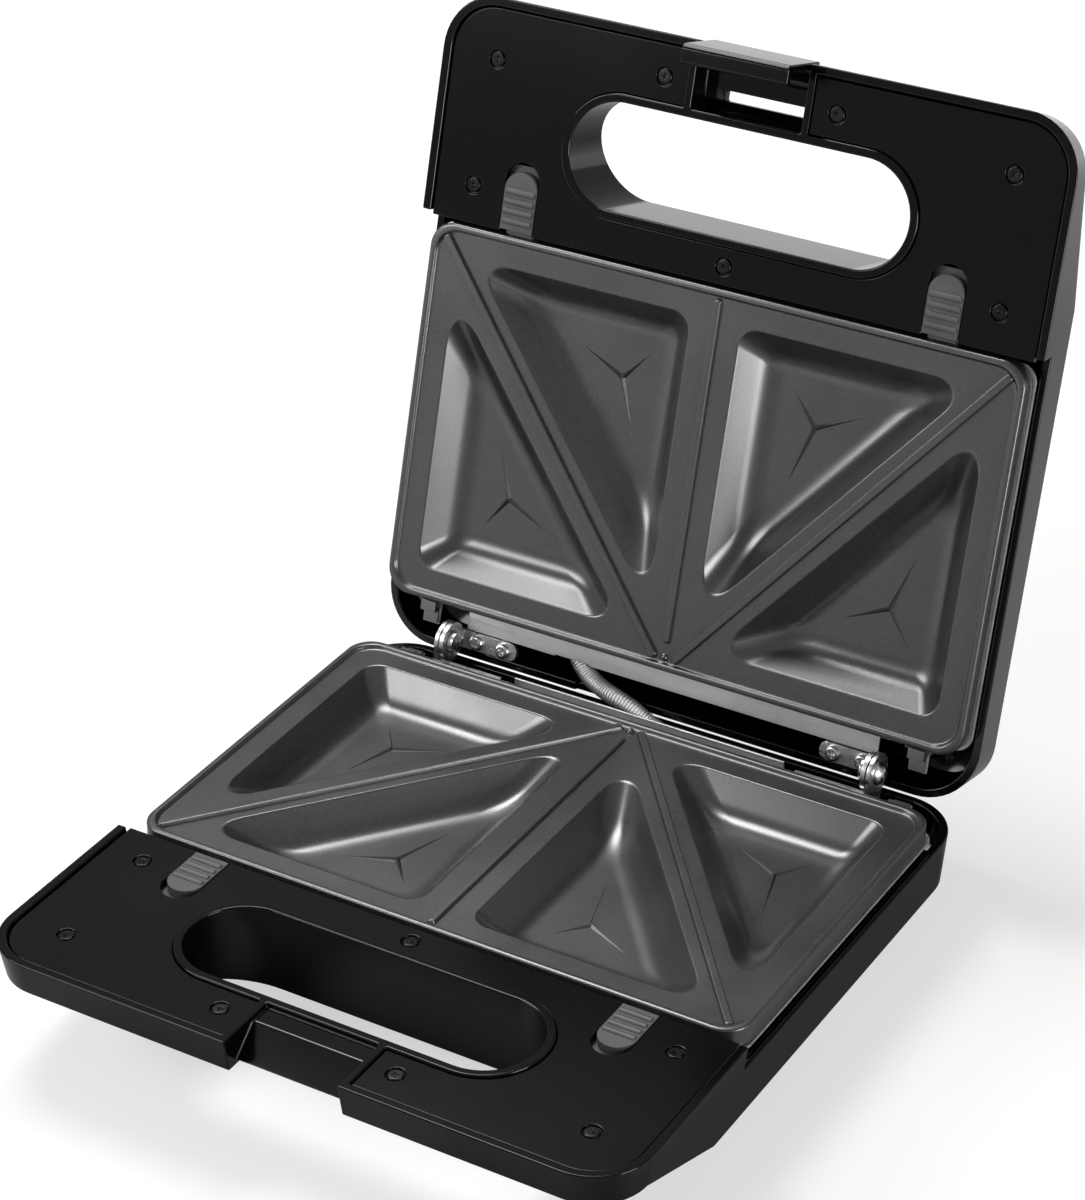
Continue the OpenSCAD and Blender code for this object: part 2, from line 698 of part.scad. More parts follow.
module base_shell() {
  color("#16171a") in_base() difference() {
    half_shell(base_drop, true) {
      union() {
        recess_body();
        mirrored()
          block(hinge_x - 23, hinge_x - 3, block_y, base_wall_y, -body_depth, flange_z - liner_t - loose);
        block(conduit_rib, conduit_rib + 3, strip_y + 0.4, rear_y, -body_depth, -base_drop);
      }
      union() {
        recess_cut();
        rod_y(gland_bore_r + 1.2 + fit, gland_x, gland_wall_y - 3 * wall, rear_y + over, gland_z);
        mirrored() for (x = bracket_screw_x)
          rod_y(screw_r + fit, x, block_y - over, base_wall_y + over, bracket_screw_z);
        rod_x(2.3, conduit_rib - over, conduit_rib + 4, hinge_y + 0.3, -14);
        for (p = feet_places) post(2.5 + fit, p[0], p[1], -far, floor_z + over);
      }
    }
  }
}

foot_x = half_w - draft - belly_inset - foot_r - 3;
feet_places = [
  [-foot_x, front_edge + 9], [foot_x, front_edge + 9], [-foot_x, rear_y - belly_rear_in - foot_r - 1],
  [foot_x, rear_y - belly_rear_in - foot_r - 1]];

module rubber_feet() {
  color("#2b2b2b") in_base() for (p = feet_places) {
    translate([p[0], p[1], -body_depth - foot_h]) cylinder(r1 = foot_r - 1, r2 = foot_r, h = foot_h);
    post(2.5, p[0], p[1], -body_depth - over, floor_z + 0.6);
  }
}

module base_handle_cover() {
  color("#101114") in_base() handle_cover(cheek_x);
}

module base_cover_screws() {
  color("#3a3b3f") in_base() cover_screw_set();
}

module base_liner() {
  color("#b9bcc2") in_base() liner(hinge_x - 29, hinge_y - 5, 4.2);
}

module base_liner_screws() {
  color("#9a9ca0") in_base() liner_screw_set();
}

module base_heating_element() {
  color("#6b5f58") in_base() heating_element();
}

module base_element_clamps() {
  color("#c9cbd0") in_base() element_clamps();
}

module thermostat() {
  color("#d8d4c8") in_base() {
    post(8, 0, -20, floor_z + 1.4, liner_floor - liner_t);
    block(-9, 9, -22.5, -17.5, floor_z + 0.4, floor_z + 1.4);
  }
}

fuse_r = 0.3 * (liner_floor - liner_t - floor_z);
fuse_z = liner_floor - liner_t - fuse_r - 0.1;
module thermal_fuse() {
  color("#c8b89a") in_base() {
    rod_x(fuse_r, -40, -22, 8, fuse_z);
    rod_x(0.6, -46, -16, 8, fuse_z);
  }
}

block_x = 12;
module terminal_block() {
  y0 = pan_y + 1.2;
  color("#e8e6df") in_base() difference() {
    block(block_x, block_x + 20, y0, y0 + 9, floor_z, floor_z + 10);
    for (i = [0:2]) rod_y(1.4, block_x + 3.5 + 6.5 * i, y0 - over, y0 + 10, floor_z + 3.2);
    for (i = [0:2]) post(1.3, block_x + 3.5 + 6.5 * i, y0 + 4.5, floor_z + 4, floor_z + 11);
  }
}

// Insulated wire through a list of corners
module wire_run(points, r) {
  for (i = [0:len(points) - 2]) {
    d = points[i + 1] - points[i];
    translate(points[i]) rotate([0, acos(d[2] / norm(d)), atan2(d[1], d[0])])
      cylinder(r = r, h = norm(d), $fn = 16);
    if (i < len(points) - 2) translate(points[i + 1]) sphere(r, $fn = 16);
  }
}

wire_r = 1.1;
wire_z = floor_z + wire_r + 0.4;
module base_wiring() {
  y0 = pan_y + 1.2;
  color("#9b2d22") in_base() {
    wire_run([[block_x + 3.5, y0 - 0.2, wire_z], [block_x + 3.5, -8, wire_z], [-50, -8, wire_z],
      [-50, 8, wire_z], [-50, 8, fuse_z], [-46.2, 8, fuse_z]], wire_r);
    wire_run([[conduit_rib + 3 + fit, hinge_y + 0.3, -14], [conduit_rib + 6, hinge_y + 0.3, -14],
      [conduit_rib + 6, hinge_y + 0.3, -20], [conduit_rib + 6, y0 + 4.5, -20],
      [conduit_rib + 6, y0 + 4.5, floor_z + 10 + 1.5 * wire_r]], 1.4 * wire_r);
    for (s = [-1, 1])
      wire_run([[block_x + 13 + 3.5 * s, y0 - 0.2, wire_z], [block_x + 13 + 3.5 * s, 20 + 6 * s, wire_z],
        [element_x + 11, 20 + 6 * s, wire_z], [element_x + 11, s * element_y, wire_z],
        [element_x + 11, s * element_y, element_z], [element_x + 9.2, s * element_y, element_z]], wire_r);
  }
}

module cord_gland() {
  inner = gland_wall_y - wall - 5;
  outer = gland_wall_y + 5;
  color("#232427") in_base() difference() {
    union() {
      rod_y(gland_bore_r + 1.2, gland_x, inner, outer, gland_z);
      rod_y(gland_bore_r + 1.7, gland_x, gland_wall_y, gland_wall_y + 1.4, gland_z);
    }
    rod_y(gland_bore_r, gland_x, inner - over, outer + over, gland_z);
  }
}

// Steel hinge brackets, drawn for the right-hand side
module base_bracket() {
  difference() {
    union() {
      block(hinge_x - bracket_w - 2, hinge_x + 2 * bracket_t + 0.4, base_wall_y, base_wall_y + bracket_t,
        -15, base_wall_top);
      translate([hinge_x + 1.5 * bracket_t + 0.4, 0, 0]) along_x(bracket_t) {
        translate([hinge_y, 0]) circle(ear_r);
        polygon([[base_wall_y, -15], [base_wall_y, base_wall_top], [hinge_y - ear_r * 0.8, ear_r * 0.6],
          [hinge_y + ear_r * 0.9, -ear_r * 0.4], [hinge_y - 1, -15]]);
      }
    }
    rod_x(rivet_d / 2 + fit, hinge_x - over, hinge_x + 9, hinge_y, 0);
    for (x = bracket_screw_x)
      rod_y(screw_r + fit, x, base_wall_y - over, base_wall_y + 3, bracket_screw_z);
  }
}

module lid_bracket() {
  top = flange_z + 0.2;
  difference() {
    union() {
      block(hinge_x - bracket_w, hinge_x + bracket_t, lid_wall_y, rear_y - wall - 0.6, top - bracket_t, top);
      translate([hinge_x + bracket_t / 2, 0, 0]) along_x(bracket_t) {
        translate([hinge_y, 0]) circle(ear_r);
        translate([lid_wall_y, top - bracket_t]) square([rear_y - wall - 0.6 - lid_wall_y, -top + bracket_t]);
      }
    }
    rod_x(rivet_d / 2 + fit, hinge_x - over, hinge_x + 9, hinge_y, 0);
    for (x = bracket_screw_x) post(screw_r + fit, x, hinge_y + 0.3, -far, 0);
  }
}

module hinge_rivet() {
  x0 = hinge_x - loose;
  x1 = hinge_x + 2 * bracket_t + 0.4;
  rod_x(rivet_d / 2, x0 - 1.7, x1 + 0.1, hinge_y, 0);
  rod_x(rivet_d / 2 + 1.7, x0 - 1.7, x0, hinge_y, 0);
  translate([x1, hinge_y, 0]) rotate([0, 90, 0]) difference() {
    translate([0, 0, -2.2]) sphere(4.9);
    translate([0, 0, -10]) cube(20, center = true);
  }
}

module base_hinge_bracket_left() {
  color("#d0d2d6") in_base() mirror([1, 0, 0]) base_bracket();
}

module base_hinge_bracket_right() {
  color("#d0d2d6") in_base() base_bracket();
}

module base_bracket_screws() {
  color("#c4c6ca") in_base() mirrored() for (x = bracket_screw_x)
    translate([x, base_wall_y + bracket_t, bracket_screw_z]) rotate([-90, 0, 0]) screw(0, 0, 0, 7);
}

module base_plate_clips() {
  color("#a9abae") in_base() plate_clips();
}

module hinge_rivet_left() {
  color("#dddfe2") in_base() mirror([1, 0, 0]) hinge_rivet();
}

module hinge_rivet_right() {
  color("#dddfe2") in_base() hinge_rivet();
}

module base_plate() {
  color("#4a4b4d") in_base() cooking_plate();
}

module base_release_left() {
  color("#33353a") in_base() mirror([1, 0, 0]) release_button();
}

module base_release_right() {
  color("#33353a") in_base() release_button();
}

module base_release_spring_left() {
  color("#b0b2b6") in_base() mirror([1, 0, 0]) release_spring();
}

module base_release_spring_right() {
  color("#b0b2b6") in_base() release_spring();
}

// Pocket in the front of the lid's handle, where the latch is hung
module pocket_cut() {
  block(-notch_x, notch_x, front_y - over, hole_front - wall, -bar_depth + wall, over);
  block(-notch_x, notch_x, front_y - over, pin_y + 0.5, -bar_depth - over, over);
  block(-notch_x + 8, notch_x - 4, front_y + 16, front_y + 19.5, -far, over);
  rod_x(latch_pin_d / 2 + fit, -cheek_x - over, cheek_x + over, pin_y, pin_z);
}

module lid_shell() {
  color("#16171a") in_lid() half_shell(lid_drop, false) {
    union() {
      mirrored() block(notch_x, cheek_x, front_y, hole_front - wall / 2, -bar_depth, rim_z);
      mirrored() for (x = bracket_screw_x)
        post(boss_r, x, hinge_y + 0.3, -body_depth, flange_z + 0.2 - bracket_t);
    }
    union() {
      pocket_cut();
      block(lid_end_x + 6, lid_end_x + 28, strip_y, far, -lid_drop - 1.6, over);
      mirrored() for (x = bracket_screw_x) post(screw_r + fit, x, hinge_y + 0.3, -18, over);
      for (s = [-1, 1]) post(lens_r + fit, s * lamp_x, lamp_y, -far, floor_z + over);
    }
  }
}

module lid_handle_cover() {
  color("#101114") in_lid() handle_cover(cheek_x);
}

module lid_cover_screws() {
  color("#3a3b3f") in_lid() cover_screw_set();
}

module lid_liner() {
  color("#b9bcc2") in_lid() liner(hinge_x - 1, strip_y, 0) {
    rod_y(2 * wire_r + 3 * fit, lid_end_x, pan_y - 3, pan_y + over, -lid_end_z);
    block(lid_end_x - 3, lid_end_x + 11, strip_y - 0.5, strip_y + over, -far, over);
    post(2 * wire_r + 3 * fit, lid_end_x, pan_y - liner_t - 5, -liner_depth - over, -liner_depth + over);
  }
}

module lid_liner_screws() {
  color("#9a9ca0") in_lid() liner_screw_set();
}

module lid_heating_element() {
  color("#6b5f58") in_lid() heating_element();
}

module lid_element_clamps() {
  color("#c9cbd0") in_lid() element_clamps();
}

module lid_wiring() {
  inner_y = pan_y - liner_t;
  color("#9b2d22") in_lid() {
    for (s = [-1, 1]) {
      x = lid_end_x - s * (wire_r + fit);
      wire_run([[x, inner_y, -lid_end_z], [x, inner_y - 5, -lid_end_z], [x, inner_y - 5, wire_z],
        [x, 6 * s, wire_z], [element_x + 11, 6 * s, wire_z], [element_x + 11, s * element_y, wire_z],
        [element_x + 11, s * element_y, element_z], [element_x + 9.2, s * element_y, element_z]], wire_r);
      wire_run(
        [[s * lamp_x, lamp_y + lens_r + 0.2, wire_z + wire_r], [s * lamp_x, -6, wire_z + wire_r]], wire_r);
    }
  }
}

module lamp_lens(s) {
  translate([s * lamp_x, lamp_y, 0]) difference() {
    union() {
      post(lens_r, 0, 0, -body_depth - 0.6, floor_z + 3);
      post(lens_r + 1.4, 0, 0, floor_z, floor_z + 1.2);
    }
    post(lens_r - 1, 0, 0, -body_depth + 1, floor_z + 4);
  }
}

module power_lamp_lens() {
  color("#b3261e") in_lid() lamp_lens(-1);
}

module ready_lamp_lens() {
  color("#2e9b45") in_lid() lamp_lens(1);
}

module indicator_lamps() {
  color("#e9d9b0") in_lid() for (s = [-1, 1]) translate([s * lamp_x, lamp_y, 0]) {
    post(lens_r - 1 - 0.1, 0, 0, -body_depth + 1.2, floor_z + 3.2);
  }
}

module lid_hinge_bracket_left() {
  color("#d0d2d6") in_lid() mirror([1, 0, 0]) lid_bracket();
}

module lid_hinge_bracket_right() {
  color("#d0d2d6") in_lid() lid_bracket();
}

module lid_bracket_screws() {
  color("#c4c6ca") in_lid() mirrored() for (x = bracket_screw_x) screw(x, hinge_y + 0.3, flange_z + 0.2, 9);
}

module lid_plate_clips() {
  color("#a9abae") in_lid() plate_clips();
}

module lid_plate() {
  color("#4a4b4d") in_lid() cooking_plate();
}

module lid_release_left() {
  color("#33353a") in_lid() mirror([1, 0, 0]) release_button();
}

module lid_release_right() {
  color("#33353a") in_lid() release_button();
}

module lid_release_spring_left() {
  color("#b0b2b6") in_lid() mirror([1, 0, 0]) release_spring();
}

module lid_release_spring_right() {
  color("#b0b2b6") in_lid() release_spring();
}

// Latch: a front plate hung on its pin, with a hook that grips under the base's recess
module latch() {
  face = front_y + 0.2;
  plate_t = 2.6;
  color("#101114") in_lid() difference() {
    union() {
      block(-latch_x, latch_x, face, face + plate_t, -9, latch_reach - 1);
      block(-latch_x, latch_x, face, pin_y, pin_z - 2.4, pin_z + 2.4);
      rod_x(3, -latch_x, latch_x, pin_y, pin_z);
      block(-latch_x, latch_x, face + 1.2, hook_tip - hook_t / 2, latch_reach - hook_t, latch_reach);
      rod_x(hook_t / 2, -latch_x, latch_x, hook_tip - hook_t / 2, latch_reach - hook_t / 2);
      rod_x(1.6, -latch_x, latch_x, face + 1.6, latch_reach - 1.6);
    }
    rod_x(latch_pin_d / 2 + fit, -latch_x - over, latch_x + over, pin_y, pin_z);
  }
}

module latch_pin() {
  color("#c4c6ca") in_lid() rod_x(latch_pin_d / 2, -cheek_x + 0.2, cheek_x - 0.2, pin_y, pin_z);
}

base_shell();
base_handle_cover();
base_cover_screws();
base_liner();
base_liner_screws();
base_heating_element();
base_element_clamps();
thermostat();
thermal_fuse();
terminal_block();
base_wiring();
cord_gland();
rubber_feet();
base_hinge_bracket_left();
base_hinge_bracket_right();
base_bracket_screws();
base_plate_clips();
hinge_rivet_left();
hinge_rivet_right();
conduit_sheath();
conduit_wires();
base_plate();
base_release_left();
base_release_right();
base_release_spring_left();
base_release_spring_right();
lid_shell();
lid_handle_cover();
lid_cover_screws();
lid_liner();
lid_liner_screws();
lid_heating_element();
lid_element_clamps();
lid_wiring();
power_lamp_lens();
ready_lamp_lens();
indicator_lamps();
lid_hinge_bracket_left();
lid_hinge_bracket_right();
lid_bracket_screws();
lid_plate_clips();
lid_plate();
lid_release_left();
lid_release_right();
lid_release_spring_left();
lid_release_spring_right();
latch();
latch_pin();
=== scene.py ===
# %% [markdown]
# # A sandwich toaster, standing open
#
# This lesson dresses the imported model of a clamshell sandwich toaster: glossy black housings, coated
# plates with triangular pockets, ribbed buttons, steel hinges and a wound steel conduit. The packed
# model gives every piece its place. Here each piece gets its finish, and the ones with soft or fine
# shapes are modelled again.

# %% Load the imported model
import bpy
import bmesh
import json
import math
from mathutils import Matrix, Vector

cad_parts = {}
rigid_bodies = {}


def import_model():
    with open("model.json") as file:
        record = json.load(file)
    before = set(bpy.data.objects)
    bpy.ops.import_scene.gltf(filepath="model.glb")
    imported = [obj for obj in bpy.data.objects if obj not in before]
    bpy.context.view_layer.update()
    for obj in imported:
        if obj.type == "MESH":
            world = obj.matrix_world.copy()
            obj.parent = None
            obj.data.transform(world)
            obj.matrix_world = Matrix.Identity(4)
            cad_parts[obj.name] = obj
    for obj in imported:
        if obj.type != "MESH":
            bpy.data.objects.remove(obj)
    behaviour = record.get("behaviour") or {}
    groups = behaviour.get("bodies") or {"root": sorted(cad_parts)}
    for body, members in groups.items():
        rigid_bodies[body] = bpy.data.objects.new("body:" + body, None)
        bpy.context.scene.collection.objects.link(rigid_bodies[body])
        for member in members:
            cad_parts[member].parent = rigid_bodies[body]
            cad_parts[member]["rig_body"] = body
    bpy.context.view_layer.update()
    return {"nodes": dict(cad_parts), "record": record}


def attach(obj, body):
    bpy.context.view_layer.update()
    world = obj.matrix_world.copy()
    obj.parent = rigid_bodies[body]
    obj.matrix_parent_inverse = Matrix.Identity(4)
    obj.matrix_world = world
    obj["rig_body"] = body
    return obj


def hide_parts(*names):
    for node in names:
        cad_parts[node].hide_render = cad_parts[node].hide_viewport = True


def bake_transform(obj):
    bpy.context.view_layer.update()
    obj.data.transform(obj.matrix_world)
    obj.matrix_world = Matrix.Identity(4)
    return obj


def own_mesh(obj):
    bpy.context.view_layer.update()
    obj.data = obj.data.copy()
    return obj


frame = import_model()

nodes = frame["nodes"]
slot_of = {part["node"]: part["material_slot"] for part in frame["record"]["subparts"]}
body_of = {name: piece["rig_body"] for name, piece in nodes.items()}

# %% [markdown]
# ## The half frame
#
# Both halves are drawn closed, in one frame: x to the right, y towards the hinge, z up from the plane
# where the halves meet. The base only moves to its place. The lid is turned over about that plane and
# then swung open about the hinge, so one drawing makes both plates. Each piece could be placed by hand
# instead, but then the two plates would never quite agree.

# %% Places of the halves
MM = 0.001
ROW_Y = -6.544883
CLOSE_Z = 44.0
HINGE_Y = 79.0
LID_OPEN = math.radians(107.3)

IN_BASE = Matrix.Translation(Vector((0, ROW_Y, CLOSE_Z)) * MM)
IN_LID = (Matrix.Translation(Vector((0, ROW_Y + HINGE_Y, CLOSE_Z)) * MM)
          @ Matrix.Rotation(-LID_OPEN, 4, "X")
          @ Matrix.Translation(Vector((0, -HINGE_Y, 0)) * MM)
          @ Matrix.Diagonal((1, 1, -1, 1)))
HALVES = {"base": IN_BASE, "lid": IN_LID}
print("hinge axis at", (IN_BASE @ (Vector((0, HINGE_Y, 0)) * MM))[:])

# %% [markdown]
# ## Camera
#
# The picture is taken with a long lens from the right and above. Its place was fitted to the corners of
# both plates' rims, so the camera is written as three directions and a distance. A small roll turns the
# frame as the picture has it. It could be aimed by eye too, but a fitted one puts every edge where the
# picture has it.

# %% Set the camera
AZIMUTH, ELEVATION, ROLL = (math.radians(a) for a in (31.97, 31.45, -1.33))
LOOK_AT = Vector((-69.01, 118.46 + ROW_Y, CLOSE_Z))
DISTANCE = 1313.3
SENSOR_MM, FOCAL_PX, PICTURE_PX = 36, 3657.97, 1200

back = Vector((math.sin(AZIMUTH) * math.cos(ELEVATION), -math.cos(AZIMUTH) * math.cos(ELEVATION),
               math.sin(ELEVATION)))
right = Vector((math.cos(AZIMUTH), math.sin(AZIMUTH), 0))
up = back.cross(right)
cam_x = right * math.cos(ROLL) + up * math.sin(ROLL)
cam_y = up * math.cos(ROLL) - right * math.sin(ROLL)
spot = (LOOK_AT + back * DISTANCE) * MM
lens = bpy.data.cameras.new("camera")
lens.sensor_fit = "VERTICAL"
lens.sensor_height = SENSOR_MM
lens.lens = FOCAL_PX / PICTURE_PX * SENSOR_MM
lens.clip_start = 0.05
lens.clip_end = 60
camera = bpy.data.objects.new("camera", lens)
turned = Matrix((cam_x, cam_y, back)).transposed().to_4x4()
camera.matrix_world = Matrix.Translation(spot) @ turned
bpy.context.scene.collection.objects.link(camera)
bpy.context.scene.camera = camera
bpy.context.scene.view_settings.view_transform = "Standard"
print("lens", round(lens.lens, 1), "mm at", [round(v, 3) for v in spot])

# %% [markdown]
# ## Colours and nodes
#
# Colours are written as on a paint card, in sRGB hex, and one function turns them into the linear
# values that a shader wants. A second one adds a node with its settings and links, so that a finish
# reads as a short list.

# %% Helpers for finishes
def colour(code):
    parts = [int(code[i:i + 2], 16) / 255 for i in (1, 3, 5)]
    return (*[c / 12.92 if c <= 0.04045 else ((c + 0.055) / 1.055) ** 2.4 for c in parts], 1)


def add_node(tree, kind, values=None, links=None, **settings):
    made = tree.nodes.new(kind)
    for name, value in settings.items():
        setattr(made, name, value)
    for name, value in (values or {}).items():
        made.inputs[name].default_value = value
    for name, source in (links or {}).items():
        tree.links.new(source, made.inputs[name])
    return made


def new_finish(name, **sockets):
    finish = bpy.data.materials.new(name)
    finish.use_nodes = True
    tree = finish.node_tree
    shader = tree.nodes["Principled BSDF"]
    for socket, value in sockets.items():
        shader.inputs[socket.replace("_", " ")].default_value = value
    place = add_node(tree, "ShaderNodeTexCoord").outputs["Object"]
    return finish, tree, shader, place


FINISH = {}
print("white is", colour("#ffffff"))

# %% [markdown]
# ## Floor, light and air
#
# The floor is pale, and the eye sees it nearly white far off. Near the toaster its emission is turned
# down, a painted shade round the toaster on top of its own soft shadow. Its far part is also bright in
# reflections, which the wall of the finger hole shows. Three soft boxes light the piece: one overhead, one
# from the right and one from the front left. They stand where the polished edges and the pocket walls
# catch them and the flat panels don't. A bright sky alone would be simpler, but it would turn the black
# gloss grey.

# %% Floor
bpy.ops.object.select_all(action="DESELECT")
bpy.ops.mesh.primitive_plane_add(size=30, location=(0, 0, 0))
floor = bpy.context.object
floor.name = "floor"
paper, tree, shader, place = new_finish("studio_paper", Base_Color=colour("#b4b4b3"), Roughness=0.9)
shader.inputs["Specular IOR Level"].default_value = 0.0
path = add_node(tree, "ShaderNodeLightPath")
seen = add_node(tree, "ShaderNodeMath", operation="MAXIMUM",
                links={0: path.outputs["Is Camera Ray"], 1: path.outputs["Is Transmission Ray"]})
away = add_node(tree, "ShaderNodeVectorMath", operation="LENGTH", links={0: place})
# Painted shade: the floor's emission falls from 0.97 far off to 0.6 near the toaster, which darkens the
# floor round it.
level = add_node(tree, "ShaderNodeMapRange",
                 {"From Min": 0.3, "From Max": 1.4, "To Min": 0.6, "To Max": 0.97},
                 {"Value": away.outputs["Value"]})
floor_glow_painted_near_shade = add_node(tree, "ShaderNodeMath", operation="MULTIPLY",
                links={0: seen.outputs[0], 1: level.outputs[0]})
far = add_node(tree, "ShaderNodeMapRange", {"From Min": 0.5, "From Max": 1.1},
               {"Value": away.outputs["Value"]})
floor_glow_painted_near_shade = add_node(tree, "ShaderNodeMath", operation="MULTIPLY_ADD",
                links={0: path.outputs["Is Glossy Ray"], 1: far.outputs[0], 2: floor_glow_painted_near_shade.outputs[0]})
tree.links.new(floor_glow_painted_near_shade.outputs[0], shader.inputs["Emission Strength"])
shader.inputs["Emission Color"].default_value = (1, 1, 1, 1)
floor.data.materials.append(paper)
print("floor of", paper.name)

# %% Soft boxes and air
def soft_box(name, at, aim, wide, high, watts):
    light = bpy.data.lights.new(name, "AREA")
    light.shape = "RECTANGLE"
    light.size = wide
    light.size_y = high
    light.energy = watts
    lamp = bpy.data.objects.new(name, light)
    lamp.location = at
    lamp.rotation_euler = (Vector(aim) - Vector(at)).to_track_quat("-Z", "Y").to_euler()
    bpy.context.scene.collection.objects.link(lamp)


TOASTER_MIDDLE = (0, 0.03, 0.1)
soft_box("overhead_box", (-0.48, 0.3, 1.14), TOASTER_MIDDLE, 0.6, 0.45, 10.5)
soft_box("right_box", (1.0, -0.24, 0.22), (0, 0.03, 0.12), 0.42, 0.42, 6.5)
soft_box("front_box", (-0.78, -0.69, 0.66), TOASTER_MIDDLE, 0.6, 0.36, 6)

air = bpy.data.worlds.new("air")
air.use_nodes = True
bpy.context.scene.world = air
tree = air.node_tree
path = add_node(tree, "ShaderNodeLightPath")
seen = add_node(tree, "ShaderNodeMath", operation="MAXIMUM",
                links={0: path.outputs["Is Camera Ray"], 1: path.outputs["Is Transmission Ray"]})
shone = add_node(tree, "ShaderNodeMath", operation="MULTIPLY_ADD", values={1: 0.16, 2: 0.14},
                 links={0: path.outputs["Is Glossy Ray"]})
level = add_node(tree, "ShaderNodeMath", operation="MAXIMUM",
                 links={0: seen.outputs[0], 1: shone.outputs[0]})
sky = tree.nodes["Background"]
sky.inputs["Color"].default_value = colour("#ffffff")
tree.links.new(level.outputs[0], sky.inputs["Strength"])
print("three soft boxes and a dim surround")

# %% [markdown]
# ## Gloss mouldings
#
# The housings and their cover panels are black ABS, moulded in a polished tool. The eye reads them by
# thin bright edges and calm dark faces, broken by the slow waves that thick mouldings have and by
# faint dust and handling marks. Colour is nearly flat, so the roughness and a very shallow bump carry
# the finish.

# %% Polished black ABS
def gloss_moulding(name, code, rough_low, rough_high):
    finish, tree, shader, place = new_finish(name, Base_Color=colour(code), IOR=1.46,
                                             Specular_IOR_Level=0.35)
    waves = add_node(tree, "ShaderNodeTexNoise", {"Scale": 1 / (22 * MM), "Detail": 2.0},
                     {"Vector": place})
    handled = add_node(tree, "ShaderNodeTexNoise", {"Scale": 1 / (60 * MM), "Detail": 3.0},
                       {"Vector": place})
    dust = add_node(tree, "ShaderNodeTexVoronoi", {"Scale": 1 / (5 * MM)}, {"Vector": place})
    speck = add_node(tree, "ShaderNodeMapRange",
                     {"From Min": 0.0, "From Max": 0.03, "To Min": 0.1, "To Max": 0.0},
                     {"Value": dust.outputs["Distance"]})
    rough = add_node(tree, "ShaderNodeMapRange",
                     {"From Min": 0.35, "From Max": 0.7, "To Min": rough_low, "To Max": rough_high},
                     {"Value": handled.outputs["Fac"]})
    both = add_node(tree, "ShaderNodeMath", links={0: rough.outputs[0], 1: speck.outputs[0]},
                    operation="ADD")
    tree.links.new(both.outputs[0], shader.inputs["Roughness"])
    bump = add_node(tree, "ShaderNodeBump", {"Strength": 0.15, "Distance": 0.1 * MM},
                    {"Height": waves.outputs["Fac"]})
    tree.links.new(bump.outputs[0], shader.inputs["Normal"])
    return finish


FINISH["housing_black"] = gloss_moulding("polished_abs_housing", "#060607", 0.11, 0.15)
FINISH["panel_black"] = gloss_moulding("polished_abs_panel", "#070708", 0.13, 0.17)
print("gloss mouldings:", list(FINISH))

# %% [markdown]
# ## Non-stick coating
#
# The plates are cast aluminium, sprayed with a dark non-stick coating that holds fine mineral flakes.
# Close up it is a satin grey with an orange-peel skin and tiny light specks. The specks are drawn about
# 0.5 mm across, a little larger than real ones, so that they show. They could come from an image, but
# noise in real millimetres stays sharp at any distance.

# %% Sprayed PTFE
def sprayed_coating(name, code, light_code, dark_code):
    finish, tree, shader, place = new_finish(name, IOR=1.6, Specular_IOR_Level=1.0)
    grain = add_node(tree, "ShaderNodeTexNoise", {"Scale": 1 / (0.55 * MM), "Detail": 2.0},
                     {"Vector": place})
    patch = add_node(tree, "ShaderNodeTexNoise", {"Scale": 1 / (30 * MM), "Detail": 3.0},
                     {"Vector": place})
    light = add_node(tree, "ShaderNodeMapRange", {"From Min": 0.52, "From Max": 0.7},
                     {"Value": grain.outputs["Fac"]})
    dark = add_node(tree, "ShaderNodeMapRange", {"From Min": 0.48, "From Max": 0.3},
                    {"Value": grain.outputs["Fac"]})
    tone = add_node(tree, "ShaderNodeMix", {"A": colour(code), "B": colour(light_code)},
                    {"Factor": light.outputs[0]}, data_type="RGBA")
    tone = add_node(tree, "ShaderNodeMix", {"B": colour(dark_code)},
                    {"Factor": dark.outputs[0], "A": tone.outputs["Result"]}, data_type="RGBA")
    tree.links.new(tone.outputs["Result"], shader.inputs["Base Color"])
    rough = add_node(tree, "ShaderNodeMapRange",
                     {"From Min": 0.35, "From Max": 0.65, "To Min": 0.27, "To Max": 0.32},
                     {"Value": patch.outputs["Fac"]})
    tree.links.new(rough.outputs[0], shader.inputs["Roughness"])
    bump = add_node(tree, "ShaderNodeBump", {"Strength": 0.45, "Distance": 0.03 * MM},
                    {"Height": grain.outputs["Fac"]})
    tree.links.new(bump.outputs[0], shader.inputs["Normal"])
    return finish


FINISH["non_stick"] = sprayed_coating("sprayed_ptfe", "#242424", "#3c3c3c", "#181818")
print("coated plates ready")

# %% [markdown]
# ## Matt mouldings, rubber and ceramic
#
# The buttons, gland, feet, terminal block and ceramics are plain matt bodies. They differ in tone, in how
# sharp their shine is and in how coarse their tool texture is, so one function serves them all. The
# blackened cover screws use it too, with the metal's own reflection.

